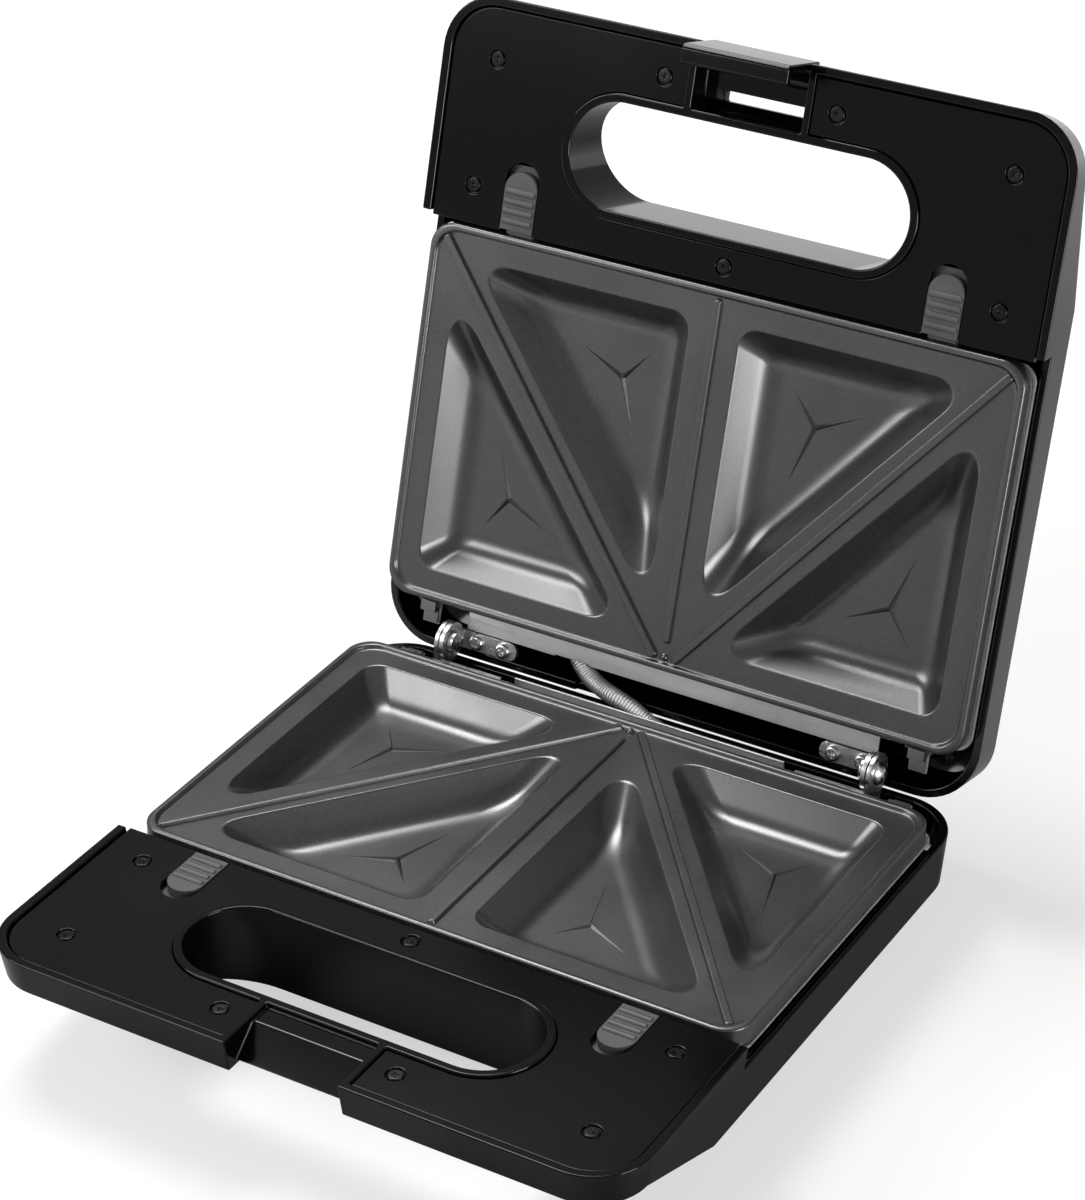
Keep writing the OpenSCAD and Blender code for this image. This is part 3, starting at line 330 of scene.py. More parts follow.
# %% Matt bodies
def matt_body(name, code, worn_code, rough, grain_mm, depth_mm):
    finish, tree, shader, place = new_finish(name)
    grain = add_node(tree, "ShaderNodeTexNoise", {"Scale": 1 / (grain_mm * MM), "Detail": 4.0},
                     {"Vector": place})
    wear = add_node(tree, "ShaderNodeTexNoise", {"Scale": 1 / (9 * MM), "Detail": 4.0}, {"Vector": place})
    amount = add_node(tree, "ShaderNodeMapRange", {"From Min": 0.45, "From Max": 0.75},
                      {"Value": wear.outputs["Fac"]})
    tone = add_node(tree, "ShaderNodeMix", {"A": colour(code), "B": colour(worn_code)},
                    {"Factor": amount.outputs[0]}, data_type="RGBA")
    tree.links.new(tone.outputs["Result"], shader.inputs["Base Color"])
    shine = add_node(tree, "ShaderNodeMapRange", {"To Min": rough - 0.06, "To Max": rough + 0.06},
                     {"Value": wear.outputs["Fac"]})
    tree.links.new(shine.outputs[0], shader.inputs["Roughness"])
    bump = add_node(tree, "ShaderNodeBump", {"Strength": 0.5, "Distance": depth_mm * MM},
                    {"Height": grain.outputs["Fac"]})
    tree.links.new(bump.outputs[0], shader.inputs["Normal"])
    return finish


FINISH["button_grey"] = matt_body("textured_pa_button", "#4e4e4e", "#585858", 0.46, 0.8, 0.03)
FINISH["gland_black"] = matt_body("textured_pa_gland", "#1c1c1f", "#26262a", 0.5, 0.8, 0.05)
FINISH["foot_rubber"] = matt_body("moulded_rubber_foot", "#1d1d1e", "#2b2a2a", 0.75, 1.2, 0.1)
FINISH["ceramic"] = matt_body("unglazed_steatite", "#d9d2c2", "#c9bfa9", 0.6, 0.7, 0.04)
FINISH["terminal_nylon"] = matt_body("natural_nylon", "#dfdccf", "#cfcab8", 0.42, 1.5, 0.03)
FINISH["wire_sleeve"] = matt_body("silicone_glass_sleeve", "#8a2b20", "#9c3a2c", 0.55, 0.6, 0.08)
FINISH["screw_black"] = matt_body("blackened_steel", "#2a2a2b", "#3c3c3d", 0.26, 0.8, 0.01)
FINISH["screw_black"].node_tree.nodes["Principled BSDF"].inputs["Metallic"].default_value = 1.0
print(len(FINISH), "finishes so far")

# %% [markdown]
# ## Bare metals
#
# Liners and brackets are pressed from bright cold-rolled sheet, which keeps the rolling lines of the
# mill. Rivets and springs are plated and smoother. A stretched noise draws the rolling lines along x,
# and a second one the faint stains that handling leaves. The anisotropic socket could do it as well, but
# on parts this small the lines themselves show more.

# %% Sheet and wire
def bare_metal(name, code, stain_code, rough, lines_mm, stretch, depth_mm):
    finish, tree, shader, place = new_finish(name, Metallic=1.0)
    along = add_node(tree, "ShaderNodeMapping", {"Scale": (stretch, 1.0, 1.0)}, {"Vector": place})
    lines = add_node(tree, "ShaderNodeTexNoise", {"Scale": 1 / (lines_mm * MM), "Detail": 4.0},
                     {"Vector": along.outputs[0]})
    stain = add_node(tree, "ShaderNodeTexNoise", {"Scale": 1 / (14 * MM), "Detail": 4.0},
                     {"Vector": place})
    amount = add_node(tree, "ShaderNodeMapRange", {"From Min": 0.45, "From Max": 0.8},
                      {"Value": stain.outputs["Fac"]})
    tone = add_node(tree, "ShaderNodeMix", {"A": colour(code), "B": colour(stain_code)},
                    {"Factor": amount.outputs[0]}, data_type="RGBA")
    tree.links.new(tone.outputs["Result"], shader.inputs["Base Color"])
    shine = add_node(tree, "ShaderNodeMapRange",
                     {"From Min": 0.3, "From Max": 0.7, "To Min": rough - 0.06, "To Max": rough + 0.08},
                     {"Value": lines.outputs["Fac"]})
    tree.links.new(shine.outputs[0], shader.inputs["Roughness"])
    bump = add_node(tree, "ShaderNodeBump", {"Strength": 0.4, "Distance": depth_mm * MM},
                    {"Height": lines.outputs["Fac"]})
    tree.links.new(bump.outputs[0], shader.inputs["Normal"])
    return finish


FINISH["liner_steel"] = bare_metal("rolled_steel_liner", "#dadada", "#c8c8c7", 0.4, 1.6, 0.05, 0.004)
FINISH["bracket_steel"] = bare_metal("pressed_steel_bracket", "#dadada", "#c4c3c1", 0.3, 1.6, 0.3, 0.004)
FINISH["plated_screw"] = bare_metal("zinc_plated_screw", "#e0e0e0", "#c9c8c4", 0.24, 1.5, 1.0, 0.002)
FINISH["rivet_steel"] = bare_metal("nickel_plated_rivet", "#e4e4e4", "#cfcecc", 0.22, 2.0, 1.0, 0.002)
FINISH["spring_steel"] = bare_metal("drawn_steel_wire", "#dcdcdc", "#c2c1bf", 0.26, 2.0, 1.0, 0.002)
FINISH["conduit_steel"] = bare_metal("wound_steel_strip", "#dcdcdc", "#cacac8", 0.5, 3.0, 1.0, 0.001)
FINISH["clip_steel"] = bare_metal("tempered_spring_strip", "#8e8e8d", "#777676", 0.38, 1.6, 0.3, 0.004)
FINISH["element_sheath"] = bare_metal("heat_darkened_tube", "#5b5048", "#3c3734", 0.42, 1.2, 1.0, 0.04)
print(len(FINISH), "finishes with the metals")

# %% [markdown]
# ## Lamp lenses
#
# The lenses are tinted acrylic, clear enough to show the small lamp behind. A little scratching in the
# roughness keeps them from looking like bare glass. They are not fully clear, so that the tint also
# shows in shade.

# %% Tinted acrylic and glass
def tinted(name, code, rough, ior):
    finish, tree, shader, place = new_finish(name, Base_Color=colour(code), IOR=ior)
    shader.inputs["Transmission Weight"].default_value = 0.85
    scratch = add_node(tree, "ShaderNodeTexNoise", {"Scale": 1 / (2 * MM), "Detail": 5.0},
                       {"Vector": place})
    shine = add_node(tree, "ShaderNodeMapRange", {"To Min": rough, "To Max": rough + 0.1},
                     {"Value": scratch.outputs["Fac"]})
    tree.links.new(shine.outputs[0], shader.inputs["Roughness"])
    return finish


FINISH["red_lens"] = tinted("red_acrylic", "#c0201a", 0.06, 1.49)
FINISH["green_lens"] = tinted("green_acrylic", "#1f9a3c", 0.06, 1.49)
FINISH["lamp_glass"] = tinted("lamp_glass", "#f0e4c4", 0.03, 1.52)
print(len(FINISH), "finishes in all")

# %% [markdown]
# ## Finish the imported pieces
#
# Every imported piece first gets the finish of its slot. Those whose shape is already right keep it,
# and the others are replaced further down.

# %% Give each node its finish
for name, piece in nodes.items():
    piece.data.materials.clear()
    piece.data.materials.append(FINISH[slot_of[name]])
print("finished", len(nodes), "nodes")

# %% [markdown]
# ## Rounding the moulded edges
#
# A imported solid has knife-sharp edges, and no moulding has: the tool leaves a small radius, and on a
# black gloss piece that radius is nearly all the eye sees. A copy of the node's mesh is merged and
# cleaned, its edges get a bevel, and weighted normals keep the broad faces calm. The latch's outer lip
# is sliced off at 45 degrees first, which gives the broad bright band along its top. A bevel node in the
# finish could fake all this, but it would not change the mesh itself.

# %% Helpers for pieces
def alone(piece):
    if bpy.context.object and bpy.context.object.mode == "EDIT":
        bpy.ops.object.mode_set(mode="OBJECT")
    bpy.ops.object.select_all(action="DESELECT")
    piece.select_set(True)
    bpy.context.view_layer.objects.active = piece


def apply_modifier(piece, kind, **settings):
    alone(piece)
    made = piece.modifiers.new(kind.lower(), kind)
    for name, value in settings.items():
        setattr(made, name, value)
    bpy.ops.object.modifier_apply(modifier=made.name)


def dress(piece, finish, body, replaced=()):
    piece.data.materials.clear()
    piece.data.materials.append(FINISH[finish])
    if body:
        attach(piece, body)
    if replaced:
        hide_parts(*replaced)


def smooth(piece, angle=35):
    alone(piece)
    bpy.ops.object.shade_smooth_by_angle(angle=math.radians(angle))
    apply_modifier(piece, "WEIGHTED_NORMAL", keep_sharp=True)


print("helpers ready")

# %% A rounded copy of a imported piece
CLEAN_ANGLE = math.radians(0.4)


def rounded_copy(node, name, width_mm, segments=3, angle=28, finish=None, cut=None):
    """Copies a node's mesh, cleans it, slices off what lies beyond the plane cut, and rounds its edges."""
    piece = bpy.data.objects.new(name, nodes[node].data.copy())
    bpy.context.scene.collection.objects.link(piece)
    alone(piece)
    bpy.ops.mesh.customdata_custom_splitnormals_clear()
    bpy.ops.object.mode_set(mode="EDIT")
    bpy.ops.mesh.select_all(action="SELECT")
    bpy.ops.mesh.remove_doubles(threshold=0.05 * MM)
    bpy.ops.mesh.dissolve_limited(angle_limit=CLEAN_ANGLE, delimit={"NORMAL"})
    if cut:
        bpy.ops.mesh.select_all(action="SELECT")
        bpy.ops.mesh.bisect(plane_co=cut[0], plane_no=cut[1], clear_outer=True, use_fill=True)
    bpy.ops.object.mode_set(mode="OBJECT")
    apply_modifier(piece, "BEVEL", width=width_mm * MM, segments=segments, limit_method="ANGLE",
                   angle_limit=math.radians(angle), use_clamp_overlap=False, miter_outer="MITER_ARC")
    smooth(piece)
    dress(piece, finish or slot_of[node], body_of[node], [node])


print("copies are cleaned below", round(math.degrees(CLEAN_ANGLE), 2), "degrees")

# %% Housings, panels and latch
for half in HALVES:
    rounded_copy(half + "_shell", half + "_housing", 0.6)
    rounded_copy(half + "_handle_cover", half + "_handle_panel", 0.35)
lip = (IN_LID @ (Vector((0, -144.9, 13.6)) * MM), IN_LID.to_3x3() @ Vector((0, -1, 1)))
rounded_copy("latch", "latch_lever", 0.5, cut=lip)

# %% [markdown]
# ## The cooking plate: rim
#
# A cast plate has no sharp corner: the skirt turns over a soft rim, drops to a flat land, and the land
# rolls into each pocket. The rim is drawn as one rounded outline that is extruded ring by ring, each
# ring drawn in a little, as a potter raises a wall. The numbers are inset and height in millimetres. A
# swept profile would do as well, but rings keep the corner round at every height.

# %% Numbers of the plate
PLATE_W, PLATE_D, PLATE_R = 225.0, 134.0, 9.0
LAND_Z, FLOOR_Z, SHEET_T = -1.8, -12.8, 2.2
RIM_STEPS = [(0, -6.9), (0, -1.1), (0.1, -0.72), (0.35, -0.45), (0.7, -0.33), (1.2, -0.3),
             (1.75, -0.32), (2.05, -0.42), (2.25, -0.62), (2.45, -1.15), (2.6, -1.5), (2.85, -1.7),
             (3.3, -1.8)]
WALL_STEPS = [(-0.5, 0), (-0.1, 0.1), (0.2, 0.4), (0.5, 0.9), (2.0, 2.9), (3.5, 4.9), (5.0, 6.8),
              (5.8, 7.75), (6.7, 8.65), (7.7, 9.45), (8.8, 10.1), (10.0, 10.55), (11.3, 10.84),
              (12.7, 10.97), (14.0, 11.0)]
OUTER_POCKET = [(-17.7, 56.0), (-101.5, 56.0), (-101.5, -43.8)]
INNER_POCKET = [(-9.5, 45.6), (-94.8, -56.0), (-9.5, -56.0)]
POCKET_R = 7.0
PLATE_SMOOTH = 32
print("rim of", len(RIM_STEPS), "rings, wall of", len(WALL_STEPS))

# %% Helpers for edit mode
def raise_rings(steps, reach_x, reach_y, centre):
    before = steps[0]
    for step in steps[1:]:
        rise = (0, 0, (step[1] - before[1]) * MM)
        bpy.ops.mesh.extrude_edges_move(TRANSFORM_OT_translate={"value": rise})
        scale_x = (reach_x - step[0]) / (reach_x - before[0])
        scale_y = (reach_y - step[0]) / (reach_y - before[0])
        bpy.ops.transform.resize(value=(scale_x, scale_y, 1), center_override=centre)
        before = step


def select_by_place(piece, kind, test):
    mesh = bmesh.from_edit_mesh(piece.data)
    for group in (mesh.verts, mesh.edges, mesh.faces):
        for item in group:
            item.select = False
    for item in getattr(mesh, kind):
        if test(item):
            item.select = True
    mesh.select_flush_mode()
    bmesh.update_edit_mesh(piece.data)


def near(point, x, y, tolerance=0.01):
    return abs(point.x / MM - x) < tolerance and abs(point.y / MM - y) < tolerance


def edit(piece, select_mode="VERT"):
    alone(piece)
    bpy.ops.object.mode_set(mode="EDIT")
    bpy.ops.mesh.select_mode(type=select_mode)


def finish_shape(piece, name):
    bpy.ops.object.mode_set(mode="OBJECT")
    alone(piece)
    bpy.ops.object.transform_apply(location=True, rotation=True, scale=True)
    piece.name = name
    return piece


print("edit helpers ready")

# %% Raise the rim
bpy.ops.mesh.primitive_plane_add(size=1, location=(0, 0, RIM_STEPS[0][1] * MM))
rim = bpy.context.object
rim.scale = (PLATE_W * MM, PLATE_D * MM, 1)
bpy.ops.object.transform_apply(location=True, rotation=True, scale=True)
edit(rim)
bpy.ops.mesh.select_all(action="SELECT")
bpy.ops.mesh.bevel(offset=PLATE_R * MM, segments=9, affect="VERTICES")
bpy.ops.mesh.select_all(action="SELECT")
bpy.ops.mesh.delete(type="ONLY_FACE")
bpy.ops.mesh.select_all(action="SELECT")
raise_rings(RIM_STEPS, PLATE_W / 2, PLATE_D / 2, (0, 0, 0))
finish_shape(rim, "plate_rim")
print("rim has", len(rim.data.vertices), "points")

# %% [markdown]
# ## The cooking plate: pockets
#
# Each pocket is a triangle with round corners, sunk in rings that are drawn in about the point that is
# equally far from its three sides. The first rings make the lip, the next the steep wall, and the many
# small last ones the broad, soft turn into the floor that the coating's shine shows so well. Boolean
# could sink them in one step, but it leaves long thin faces, which show in a satin shine.

# %% Sink the pockets
def incentre(corners):
    sides = [math.dist(corners[(i + 1) % 3], corners[(i + 2) % 3]) for i in range(3)]
    total = sum(sides)
    middle = [sum(side * corner[k] for side, corner in zip(sides, corners)) / total for k in (0, 1)]
    half = total / 2
    radius = math.sqrt(math.prod(half - side for side in sides) / half)
    return middle, radius


def corner_angle(corners, i):
    here, a, b = Vector(corners[i]), Vector(corners[i - 1]), Vector(corners[(i + 1) % 3])
    return (a - here).angle(b - here)


def sink_pocket(name, corners):
    middle, radius = incentre(corners)
    bpy.ops.mesh.primitive_circle_add(vertices=3, radius=0.05, fill_type="NGON")
    piece = bpy.context.object
    start = (radius - WALL_STEPS[0][0]) / radius
    wide = [[m + (c - m) * start for c, m in zip(corner, middle)] for corner in corners]
    for point, corner in zip(piece.data.vertices, wide):
        point.co = Vector((corner[0], corner[1], LAND_Z)) * MM
    edit(piece)
    for i, corner in enumerate(wide):
        select_by_place(piece, "verts", lambda v: near(v.co, *corner))
        reach = POCKET_R * start / math.tan(corner_angle(corners, i) / 2)
        bpy.ops.mesh.bevel(offset=reach * MM, segments=12, affect="VERTICES", clamp_overlap=False)
    bpy.ops.mesh.select_all(action="SELECT")
    bpy.ops.mesh.delete(type="ONLY_FACE")
    bpy.ops.mesh.select_all(action="SELECT")
    raise_rings([(inset, -depth) for inset, depth in WALL_STEPS], radius, radius,
                (middle[0] * MM, middle[1] * MM, 0))
    bpy.ops.mesh.edge_face_add()
    return finish_shape(piece, name)


outer = sink_pocket("outer_pocket", OUTER_POCKET)
inner = sink_pocket("inner_pocket", INNER_POCKET)
alone(outer)
inner.select_set(True)
bpy.ops.object.join()
apply_modifier(outer, "MIRROR", use_axis=(True, False, False), use_mirror_merge=False)
print("four pockets:", len(outer.data.polygons), "faces")

# %% [markdown]
# ## The cooking plate: land and thickness
#
# The rim and the pockets now stand apart, with open edges at the same height. Fill joins them with
# one flat land. The normals are made to agree, and Solidify gives the casting its 2.2 mm.

# %% Join and thicken
alone(rim)
outer.select_set(True)
bpy.ops.object.join()
edit(rim, "EDGE")
select_by_place(rim, "edges",
                lambda e: e.is_boundary and all(abs(v.co.z - LAND_Z * MM) < 1e-6 for v in e.verts))
bpy.ops.mesh.fill(use_beauty=True)
bpy.ops.mesh.select_all(action="SELECT")
bpy.ops.mesh.remove_doubles(threshold=0.005 * MM)
bpy.ops.mesh.normals_make_consistent(inside=False)
bpy.ops.object.mode_set(mode="OBJECT")
land = max(rim.data.polygons, key=lambda f: f.area)
if land.normal.z < 0:
    edit(rim)
    bpy.ops.mesh.select_all(action="SELECT")
    bpy.ops.mesh.flip_normals()
    bpy.ops.object.mode_set(mode="OBJECT")
apply_modifier(rim, "SOLIDIFY", thickness=SHEET_T * MM, offset=-1)
print("plate shell:", len(rim.data.polygons), "faces")

# %% [markdown]
# ## The cooking plate: ridges and creases
#
# Low ridges with round ends part the pockets along the diagonals and the middle. In each floor a
# three-armed crease, thin as a line and sharp at its ends, presses its mark. Ridges are long blocks with a
# narrowed, bevelled top, and a crease is three flat pointed pyramids that lie on the floor.

# %% Ridges
def ridge(name, start, end, wide, narrow, top):
    start, end = Vector((*start, 0)), Vector((*end, 0))
    long = (end - start).length
    middle = (start + end) / 2 + Vector((0, 0, LAND_Z - 1.0))
    bpy.ops.mesh.primitive_cube_add(size=1, location=middle * MM)
    piece = bpy.context.object
    piece.scale = (long * MM, wide * MM, 2.0 * MM)
    bpy.ops.object.transform_apply(location=False, rotation=False, scale=True)
    edit(piece, "EDGE")
    select_by_place(piece, "edges", lambda e: abs(e.verts[0].co.z - e.verts[1].co.z) > MM)
    bpy.ops.mesh.bevel(offset=narrow * 0.45 * MM, segments=5, affect="EDGES")
    bpy.ops.mesh.select_mode(type="FACE")
    select_by_place(piece, "faces", lambda f: f.normal.z > 0.9)
    bpy.ops.mesh.extrude_region_move(TRANSFORM_OT_translate={"value": (0, 0, (top - LAND_Z) * MM)})
    bpy.ops.transform.resize(value=((long - 1.6) / long, narrow / wide, 1),
                             center_override=piece.location)
    bpy.ops.mesh.select_mode(type="EDGE")
    select_by_place(piece, "edges", lambda e: all(v.co.z > 1.01 * MM for v in e.verts))
    bpy.ops.mesh.bevel(offset=0.3 * MM, segments=2, affect="EDGES")
    bpy.ops.object.mode_set(mode="OBJECT")
    piece.rotation_euler = (0, 0, math.atan2(end.y - start.y, end.x - start.x))
    return finish_shape(piece, name)


front, rear = -PLATE_D / 2, PLATE_D / 2
corner_x = PLATE_W / 2 - 5.2
ridges = [ridge("ridge_" + side, (sign * corner_x, front + 4.2), (sign * 3.4, rear - 3.6),
                wide=3.4, narrow=2.5, top=-0.4)
          for side, sign in (("left", -1), ("right", 1))]
ridges.append(ridge("ridge_middle", (0, front + 3.2), (0, rear - 9.5), wide=2.8, narrow=2.1, top=-0.5))
print(len(ridges), "ridges")

# %% Creases
def crease_arm(start, end, wide, tall):
    start, end = Vector((*start, FLOOR_Z)), Vector((*end, FLOOR_Z))
    run = end - start
    start = start - run.normalized() * wide * 0.25
    bpy.ops.mesh.primitive_cone_add(vertices=4, radius1=wide / 2 * MM, radius2=0,
                                    depth=(end - start).length * MM,
                                    location=(start + end) / 2 * MM,
                                    rotation=run.to_track_quat("Z", "Y").to_euler())
    piece = bpy.context.object
    edit(piece)
    bpy.ops.mesh.select_all(action="SELECT")
    bpy.ops.transform.resize(value=(1, 1, tall / (wide / 2)), center_override=(0, 0, FLOOR_Z * MM))
    return finish_shape(piece, "crease")


CREASES = [((-37, -26.4), [(-54, -34), (-27.5, -37), (-29.7, -5)]),
           ((-74.5, 26.8), [(-81, 7), (-83.5, 39), (-57, 35)])]
CREASE_WIDE, CREASE_TALL = 1.8, 0.85
arms = []
for middle, ends in CREASES:
    for side in (-1, 1):
        for end in ends:
            arms.append(crease_arm((side * -middle[0], middle[1]), (side * -end[0], end[1]),
                                   CREASE_WIDE, CREASE_TALL))
print(len(arms), "crease arms")

# %% [markdown]
# ## The cooking plate: what holds it
#
# Two hooks at the back slip under the spring clips, and two tongues at the front go into the release
# buttons. A small knob marks the middle of the rear edge. They are joined to the shell, and the drawing
# of the plate is finished.

# %% Hooks, knob and the finished drawing
def lug(name, x, y0, y1, z0, z1, wide):
    bpy.ops.mesh.primitive_cube_add(size=1, location=Vector((x, (y0 + y1) / 2, (z0 + z1) / 2)) * MM)
    piece = bpy.context.object
    piece.scale = Vector((wide, y1 - y0, z1 - z0)) * MM
    bpy.ops.object.transform_apply(location=True, rotation=True, scale=True)
    apply_modifier(piece, "BEVEL", width=0.5 * MM, segments=3, limit_method="ANGLE")
    piece.name = name
    return piece


lugs = [lug("hook", side * 96.0, rear - 1, rear + 2.3, -6.2, -4.8, 10) for side in (-1, 1)]
lugs += [lug("tongue", side * 80.0, front - 2.3, front + 1, -6.7, -5.4, 10) for side in (-1, 1)]
bpy.ops.mesh.primitive_uv_sphere_add(segments=20, ring_count=12, radius=1.5 * MM,
                                     location=Vector((0, rear - 4.6, LAND_Z - 0.3)) * MM)
knob = bpy.context.object
edit(knob)
select_by_place(knob, "verts", lambda v: v.co.z < -1.2 * MM)
bpy.ops.mesh.delete(type="VERT")
finish_shape(knob, "knob")
alone(rim)
for piece in ridges + arms + lugs + [knob]:
    piece.select_set(True)
bpy.ops.object.join()
smooth(rim, PLATE_SMOOTH)
print("one plate:", len(rim.data.polygons), "faces")

# %% [markdown]
# ## Two plates from one drawing
#
# The base plate and the lid plate come from one mould. The drawing is copied into each half's place. The
# lid's place turns it over, which also turns its faces inwards, so they are flipped back. A mirror
# modifier would be shorter, but each plate moves with its own half.

# %% Set the plate in both halves
def set_in(half, drawing, name):
    piece = bpy.data.objects.new(name, drawing.copy())
    bpy.context.scene.collection.objects.link(piece)
    piece.data.transform(HALVES[half])
    if HALVES[half].determinant() < 0:
        edit(piece)
        bpy.ops.mesh.select_all(action="SELECT")
        bpy.ops.mesh.flip_normals()
        bpy.ops.object.mode_set(mode="OBJECT")
    return piece


for half in HALVES:
    plate = set_in(half, rim.data, half + "_cooking_plate")
    dress(plate, "non_stick", half + "_plate", [half + "_plate"])
    smooth(plate, PLATE_SMOOTH)
bpy.data.objects.remove(rim)
print("two plates from one drawing")

# %% [markdown]
# ## Screws
#
# Every visible screw is a pan head with a cross recess. One head is turned from a cylinder, its rim
# rounded by a wide bevel, and two slots are cut with Boolean. The cover screws are blackened and sit
# sunk in the panels, the bracket screws are zinc plated. Each set is copied from the one drawing,
# turned a little so that no two crosses stand alike.

# %% Draw one screw
def draw_screw(head_r, head_h, shank_r, length):
    bpy.ops.mesh.primitive_cylinder_add(vertices=36, radius=head_r * MM, depth=head_h * MM,
                                        location=(0, 0, head_h / 2 * MM))
    piece = bpy.context.object
    edit(piece, "EDGE")
    select_by_place(piece, "edges", lambda e: all(v.co.z > head_h * 0.4 * MM for v in e.verts))
    bpy.ops.mesh.bevel(offset=head_h * 0.62 * MM, segments=5, affect="EDGES")
    finish_shape(piece, "screw")
    for turn in (0, 90):
        bpy.ops.mesh.primitive_cube_add(size=1, location=(0, 0, head_h * MM),
                                        rotation=(0, 0, math.radians(turn)))
        slot_tool = bpy.context.object
        slot_tool.scale = (head_r * 1.15 * MM, head_r * 0.28 * MM, head_h * 1.25 * MM)
        edit(slot_tool, "FACE")
        select_by_place(slot_tool, "faces", lambda f: f.normal.z < -0.9)
        bpy.ops.transform.resize(value=(0.45, 0.7, 1), center_override=(0, 0, 0))
        finish_shape(slot_tool, "slot_tool")
        apply_modifier(piece, "BOOLEAN", object=slot_tool, operation="DIFFERENCE", solver="EXACT")
        bpy.data.objects.remove(slot_tool)
    apply_modifier(piece, "BEVEL", width=0.08 * MM, segments=2, limit_method="ANGLE",
                   angle_limit=math.radians(45))
    bpy.ops.mesh.primitive_cylinder_add(vertices=20, radius=shank_r * MM, depth=length * MM,
                                        location=(0, 0, (0.05 - length / 2) * MM))
    shank = bpy.context.object
    apply_modifier(shank, "BEVEL", width=0.3 * MM, segments=2, limit_method="ANGLE")
    alone(piece)
    shank.select_set(True)
    bpy.ops.object.join()
    return piece


cover_screw = draw_screw(head_r=2.6, head_h=0.9, shank_r=1.4, length=6)
plated_screw = draw_screw(head_r=2.75, head_h=1.8, shank_r=1.4, length=6)
print("one screw has", len(cover_screw.data.polygons), "faces")

# %% Place a set of screws
def set_screws(drawing, name, places, half, finish, body, node):
    copies = []
    for i, (x, y, z, tilt) in enumerate(places):
        piece = bpy.data.objects.new(name, drawing.data.copy())
        bpy.context.scene.collection.objects.link(piece)
        piece.data.transform(Matrix.Translation(Vector((x, y, z)) * MM) @ Matrix.Rotation(tilt, 4, "X")
                             @ Matrix.Rotation(math.radians(37 * i + 12), 4, "Z"))
        copies.append(piece)
    alone(copies[0])
    for piece in copies:
        piece.select_set(True)
    bpy.ops.object.join()
    whole = set_in(half, copies[0].data, name)
    bpy.data.objects.remove(copies[0])
    dress(whole, finish, body, [node])
    smooth(whole)


print("screws can be placed")

# %% All the visible screws
COVER_PLACES = [(x, y, -2.2, 0) for x, y in ((-96, -125.5), (96, -125.5), (-32, -132), (32, -132),
                                            (-99, -81.5), (99, -81.5), (0, -74.5))]
for half in HALVES:
    set_screws(cover_screw, half + "_panel_screws", COVER_PLACES, half, "screw_black", half,
               half + "_cover_screws")
EAR_X = [-65.3, -76.2, 65.3, 76.2]
set_screws(plated_screw, "base_ear_screws", [(x, 72.8, -11, -math.pi / 2) for x in EAR_X],
           "base", "plated_screw", "base", "base_bracket_screws")
set_screws(plated_screw, "lid_ear_screws", [(x, 79.3, -7.0, 0) for x in EAR_X],
           "lid", "plated_screw", "lid", "lid_bracket_screws")
for drawing in (cover_screw, plated_screw):
    bpy.data.objects.remove(drawing)
print("14 cover screws and 8 bracket screws")

# %% [markdown]
# ## Release buttons
#
# A thumb pushes these ribbed pads to free a plate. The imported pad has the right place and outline. Its
# copy is merged, and full ribs are laid across it: long bars with a half-round top, as a mould would cut
# them. Bump could draw the ribs, but not the steps that they make at the edge of the pad.

# %% Ribbed pads
def rib(x, y, z, long, radius, tall):
    bpy.ops.mesh.primitive_cylinder_add(vertices=20, radius=radius * MM, depth=long * MM,
                                        location=Vector((x, y, z)) * MM, rotation=(0, math.pi / 2, 0))
    piece = bpy.context.object
    bpy.ops.object.transform_apply(location=False, rotation=True, scale=True)
    piece.scale = (1, 1, tall / radius)
    bpy.ops.object.transform_apply(location=True, rotation=True, scale=True)
    apply_modifier(piece, "BEVEL", width=0.35 * MM, segments=3, limit_method="ANGLE",
                   angle_limit=math.radians(50))
    return piece


BUTTONS = {"left": -80, "right": 80}
RIB_Y = [-72.2 - 3.4 * i for i in range(4)]
RIB_Z, RIB_LONG, RIB_R, RIB_TALL = -0.9, 11.4, 1.15, 0.74
for half in HALVES:
    for side, place in BUTTONS.items():
        node = half + "_release_" + side
        pad = bpy.data.objects.new(node + "_pad", nodes[node].data.copy())
        bpy.context.scene.collection.objects.link(pad)
        alone(pad)
        bpy.ops.mesh.customdata_custom_splitnormals_clear()
        edit(pad)
        bpy.ops.mesh.select_all(action="SELECT")
        bpy.ops.mesh.remove_doubles(threshold=0.02 * MM)
        bpy.ops.object.mode_set(mode="OBJECT")
        ribs = [rib(place, y, RIB_Z, RIB_LONG, RIB_R, RIB_TALL) for y in RIB_Y]
        alone(ribs[0])
        for piece in ribs:
            piece.select_set(True)
        bpy.ops.object.join()
        laid = set_in(half, ribs[0].data, "ribs")
        bpy.data.objects.remove(ribs[0])
        alone(pad)
        laid.select_set(True)
        bpy.ops.object.join()
        smooth(pad)
        dress(pad, "button_grey", body_of[node], [node])
print("four ribbed pads")

# %% [markdown]
# ## Pressed steel
#
# Liners, hinge brackets, clips and rivets are thin pressings. Their edges are broken only slightly,
# but that thin line is what tells steel from grey plastic. The lid brackets also have the round
# corners of a blanking die, which are cut before the edges are broken.

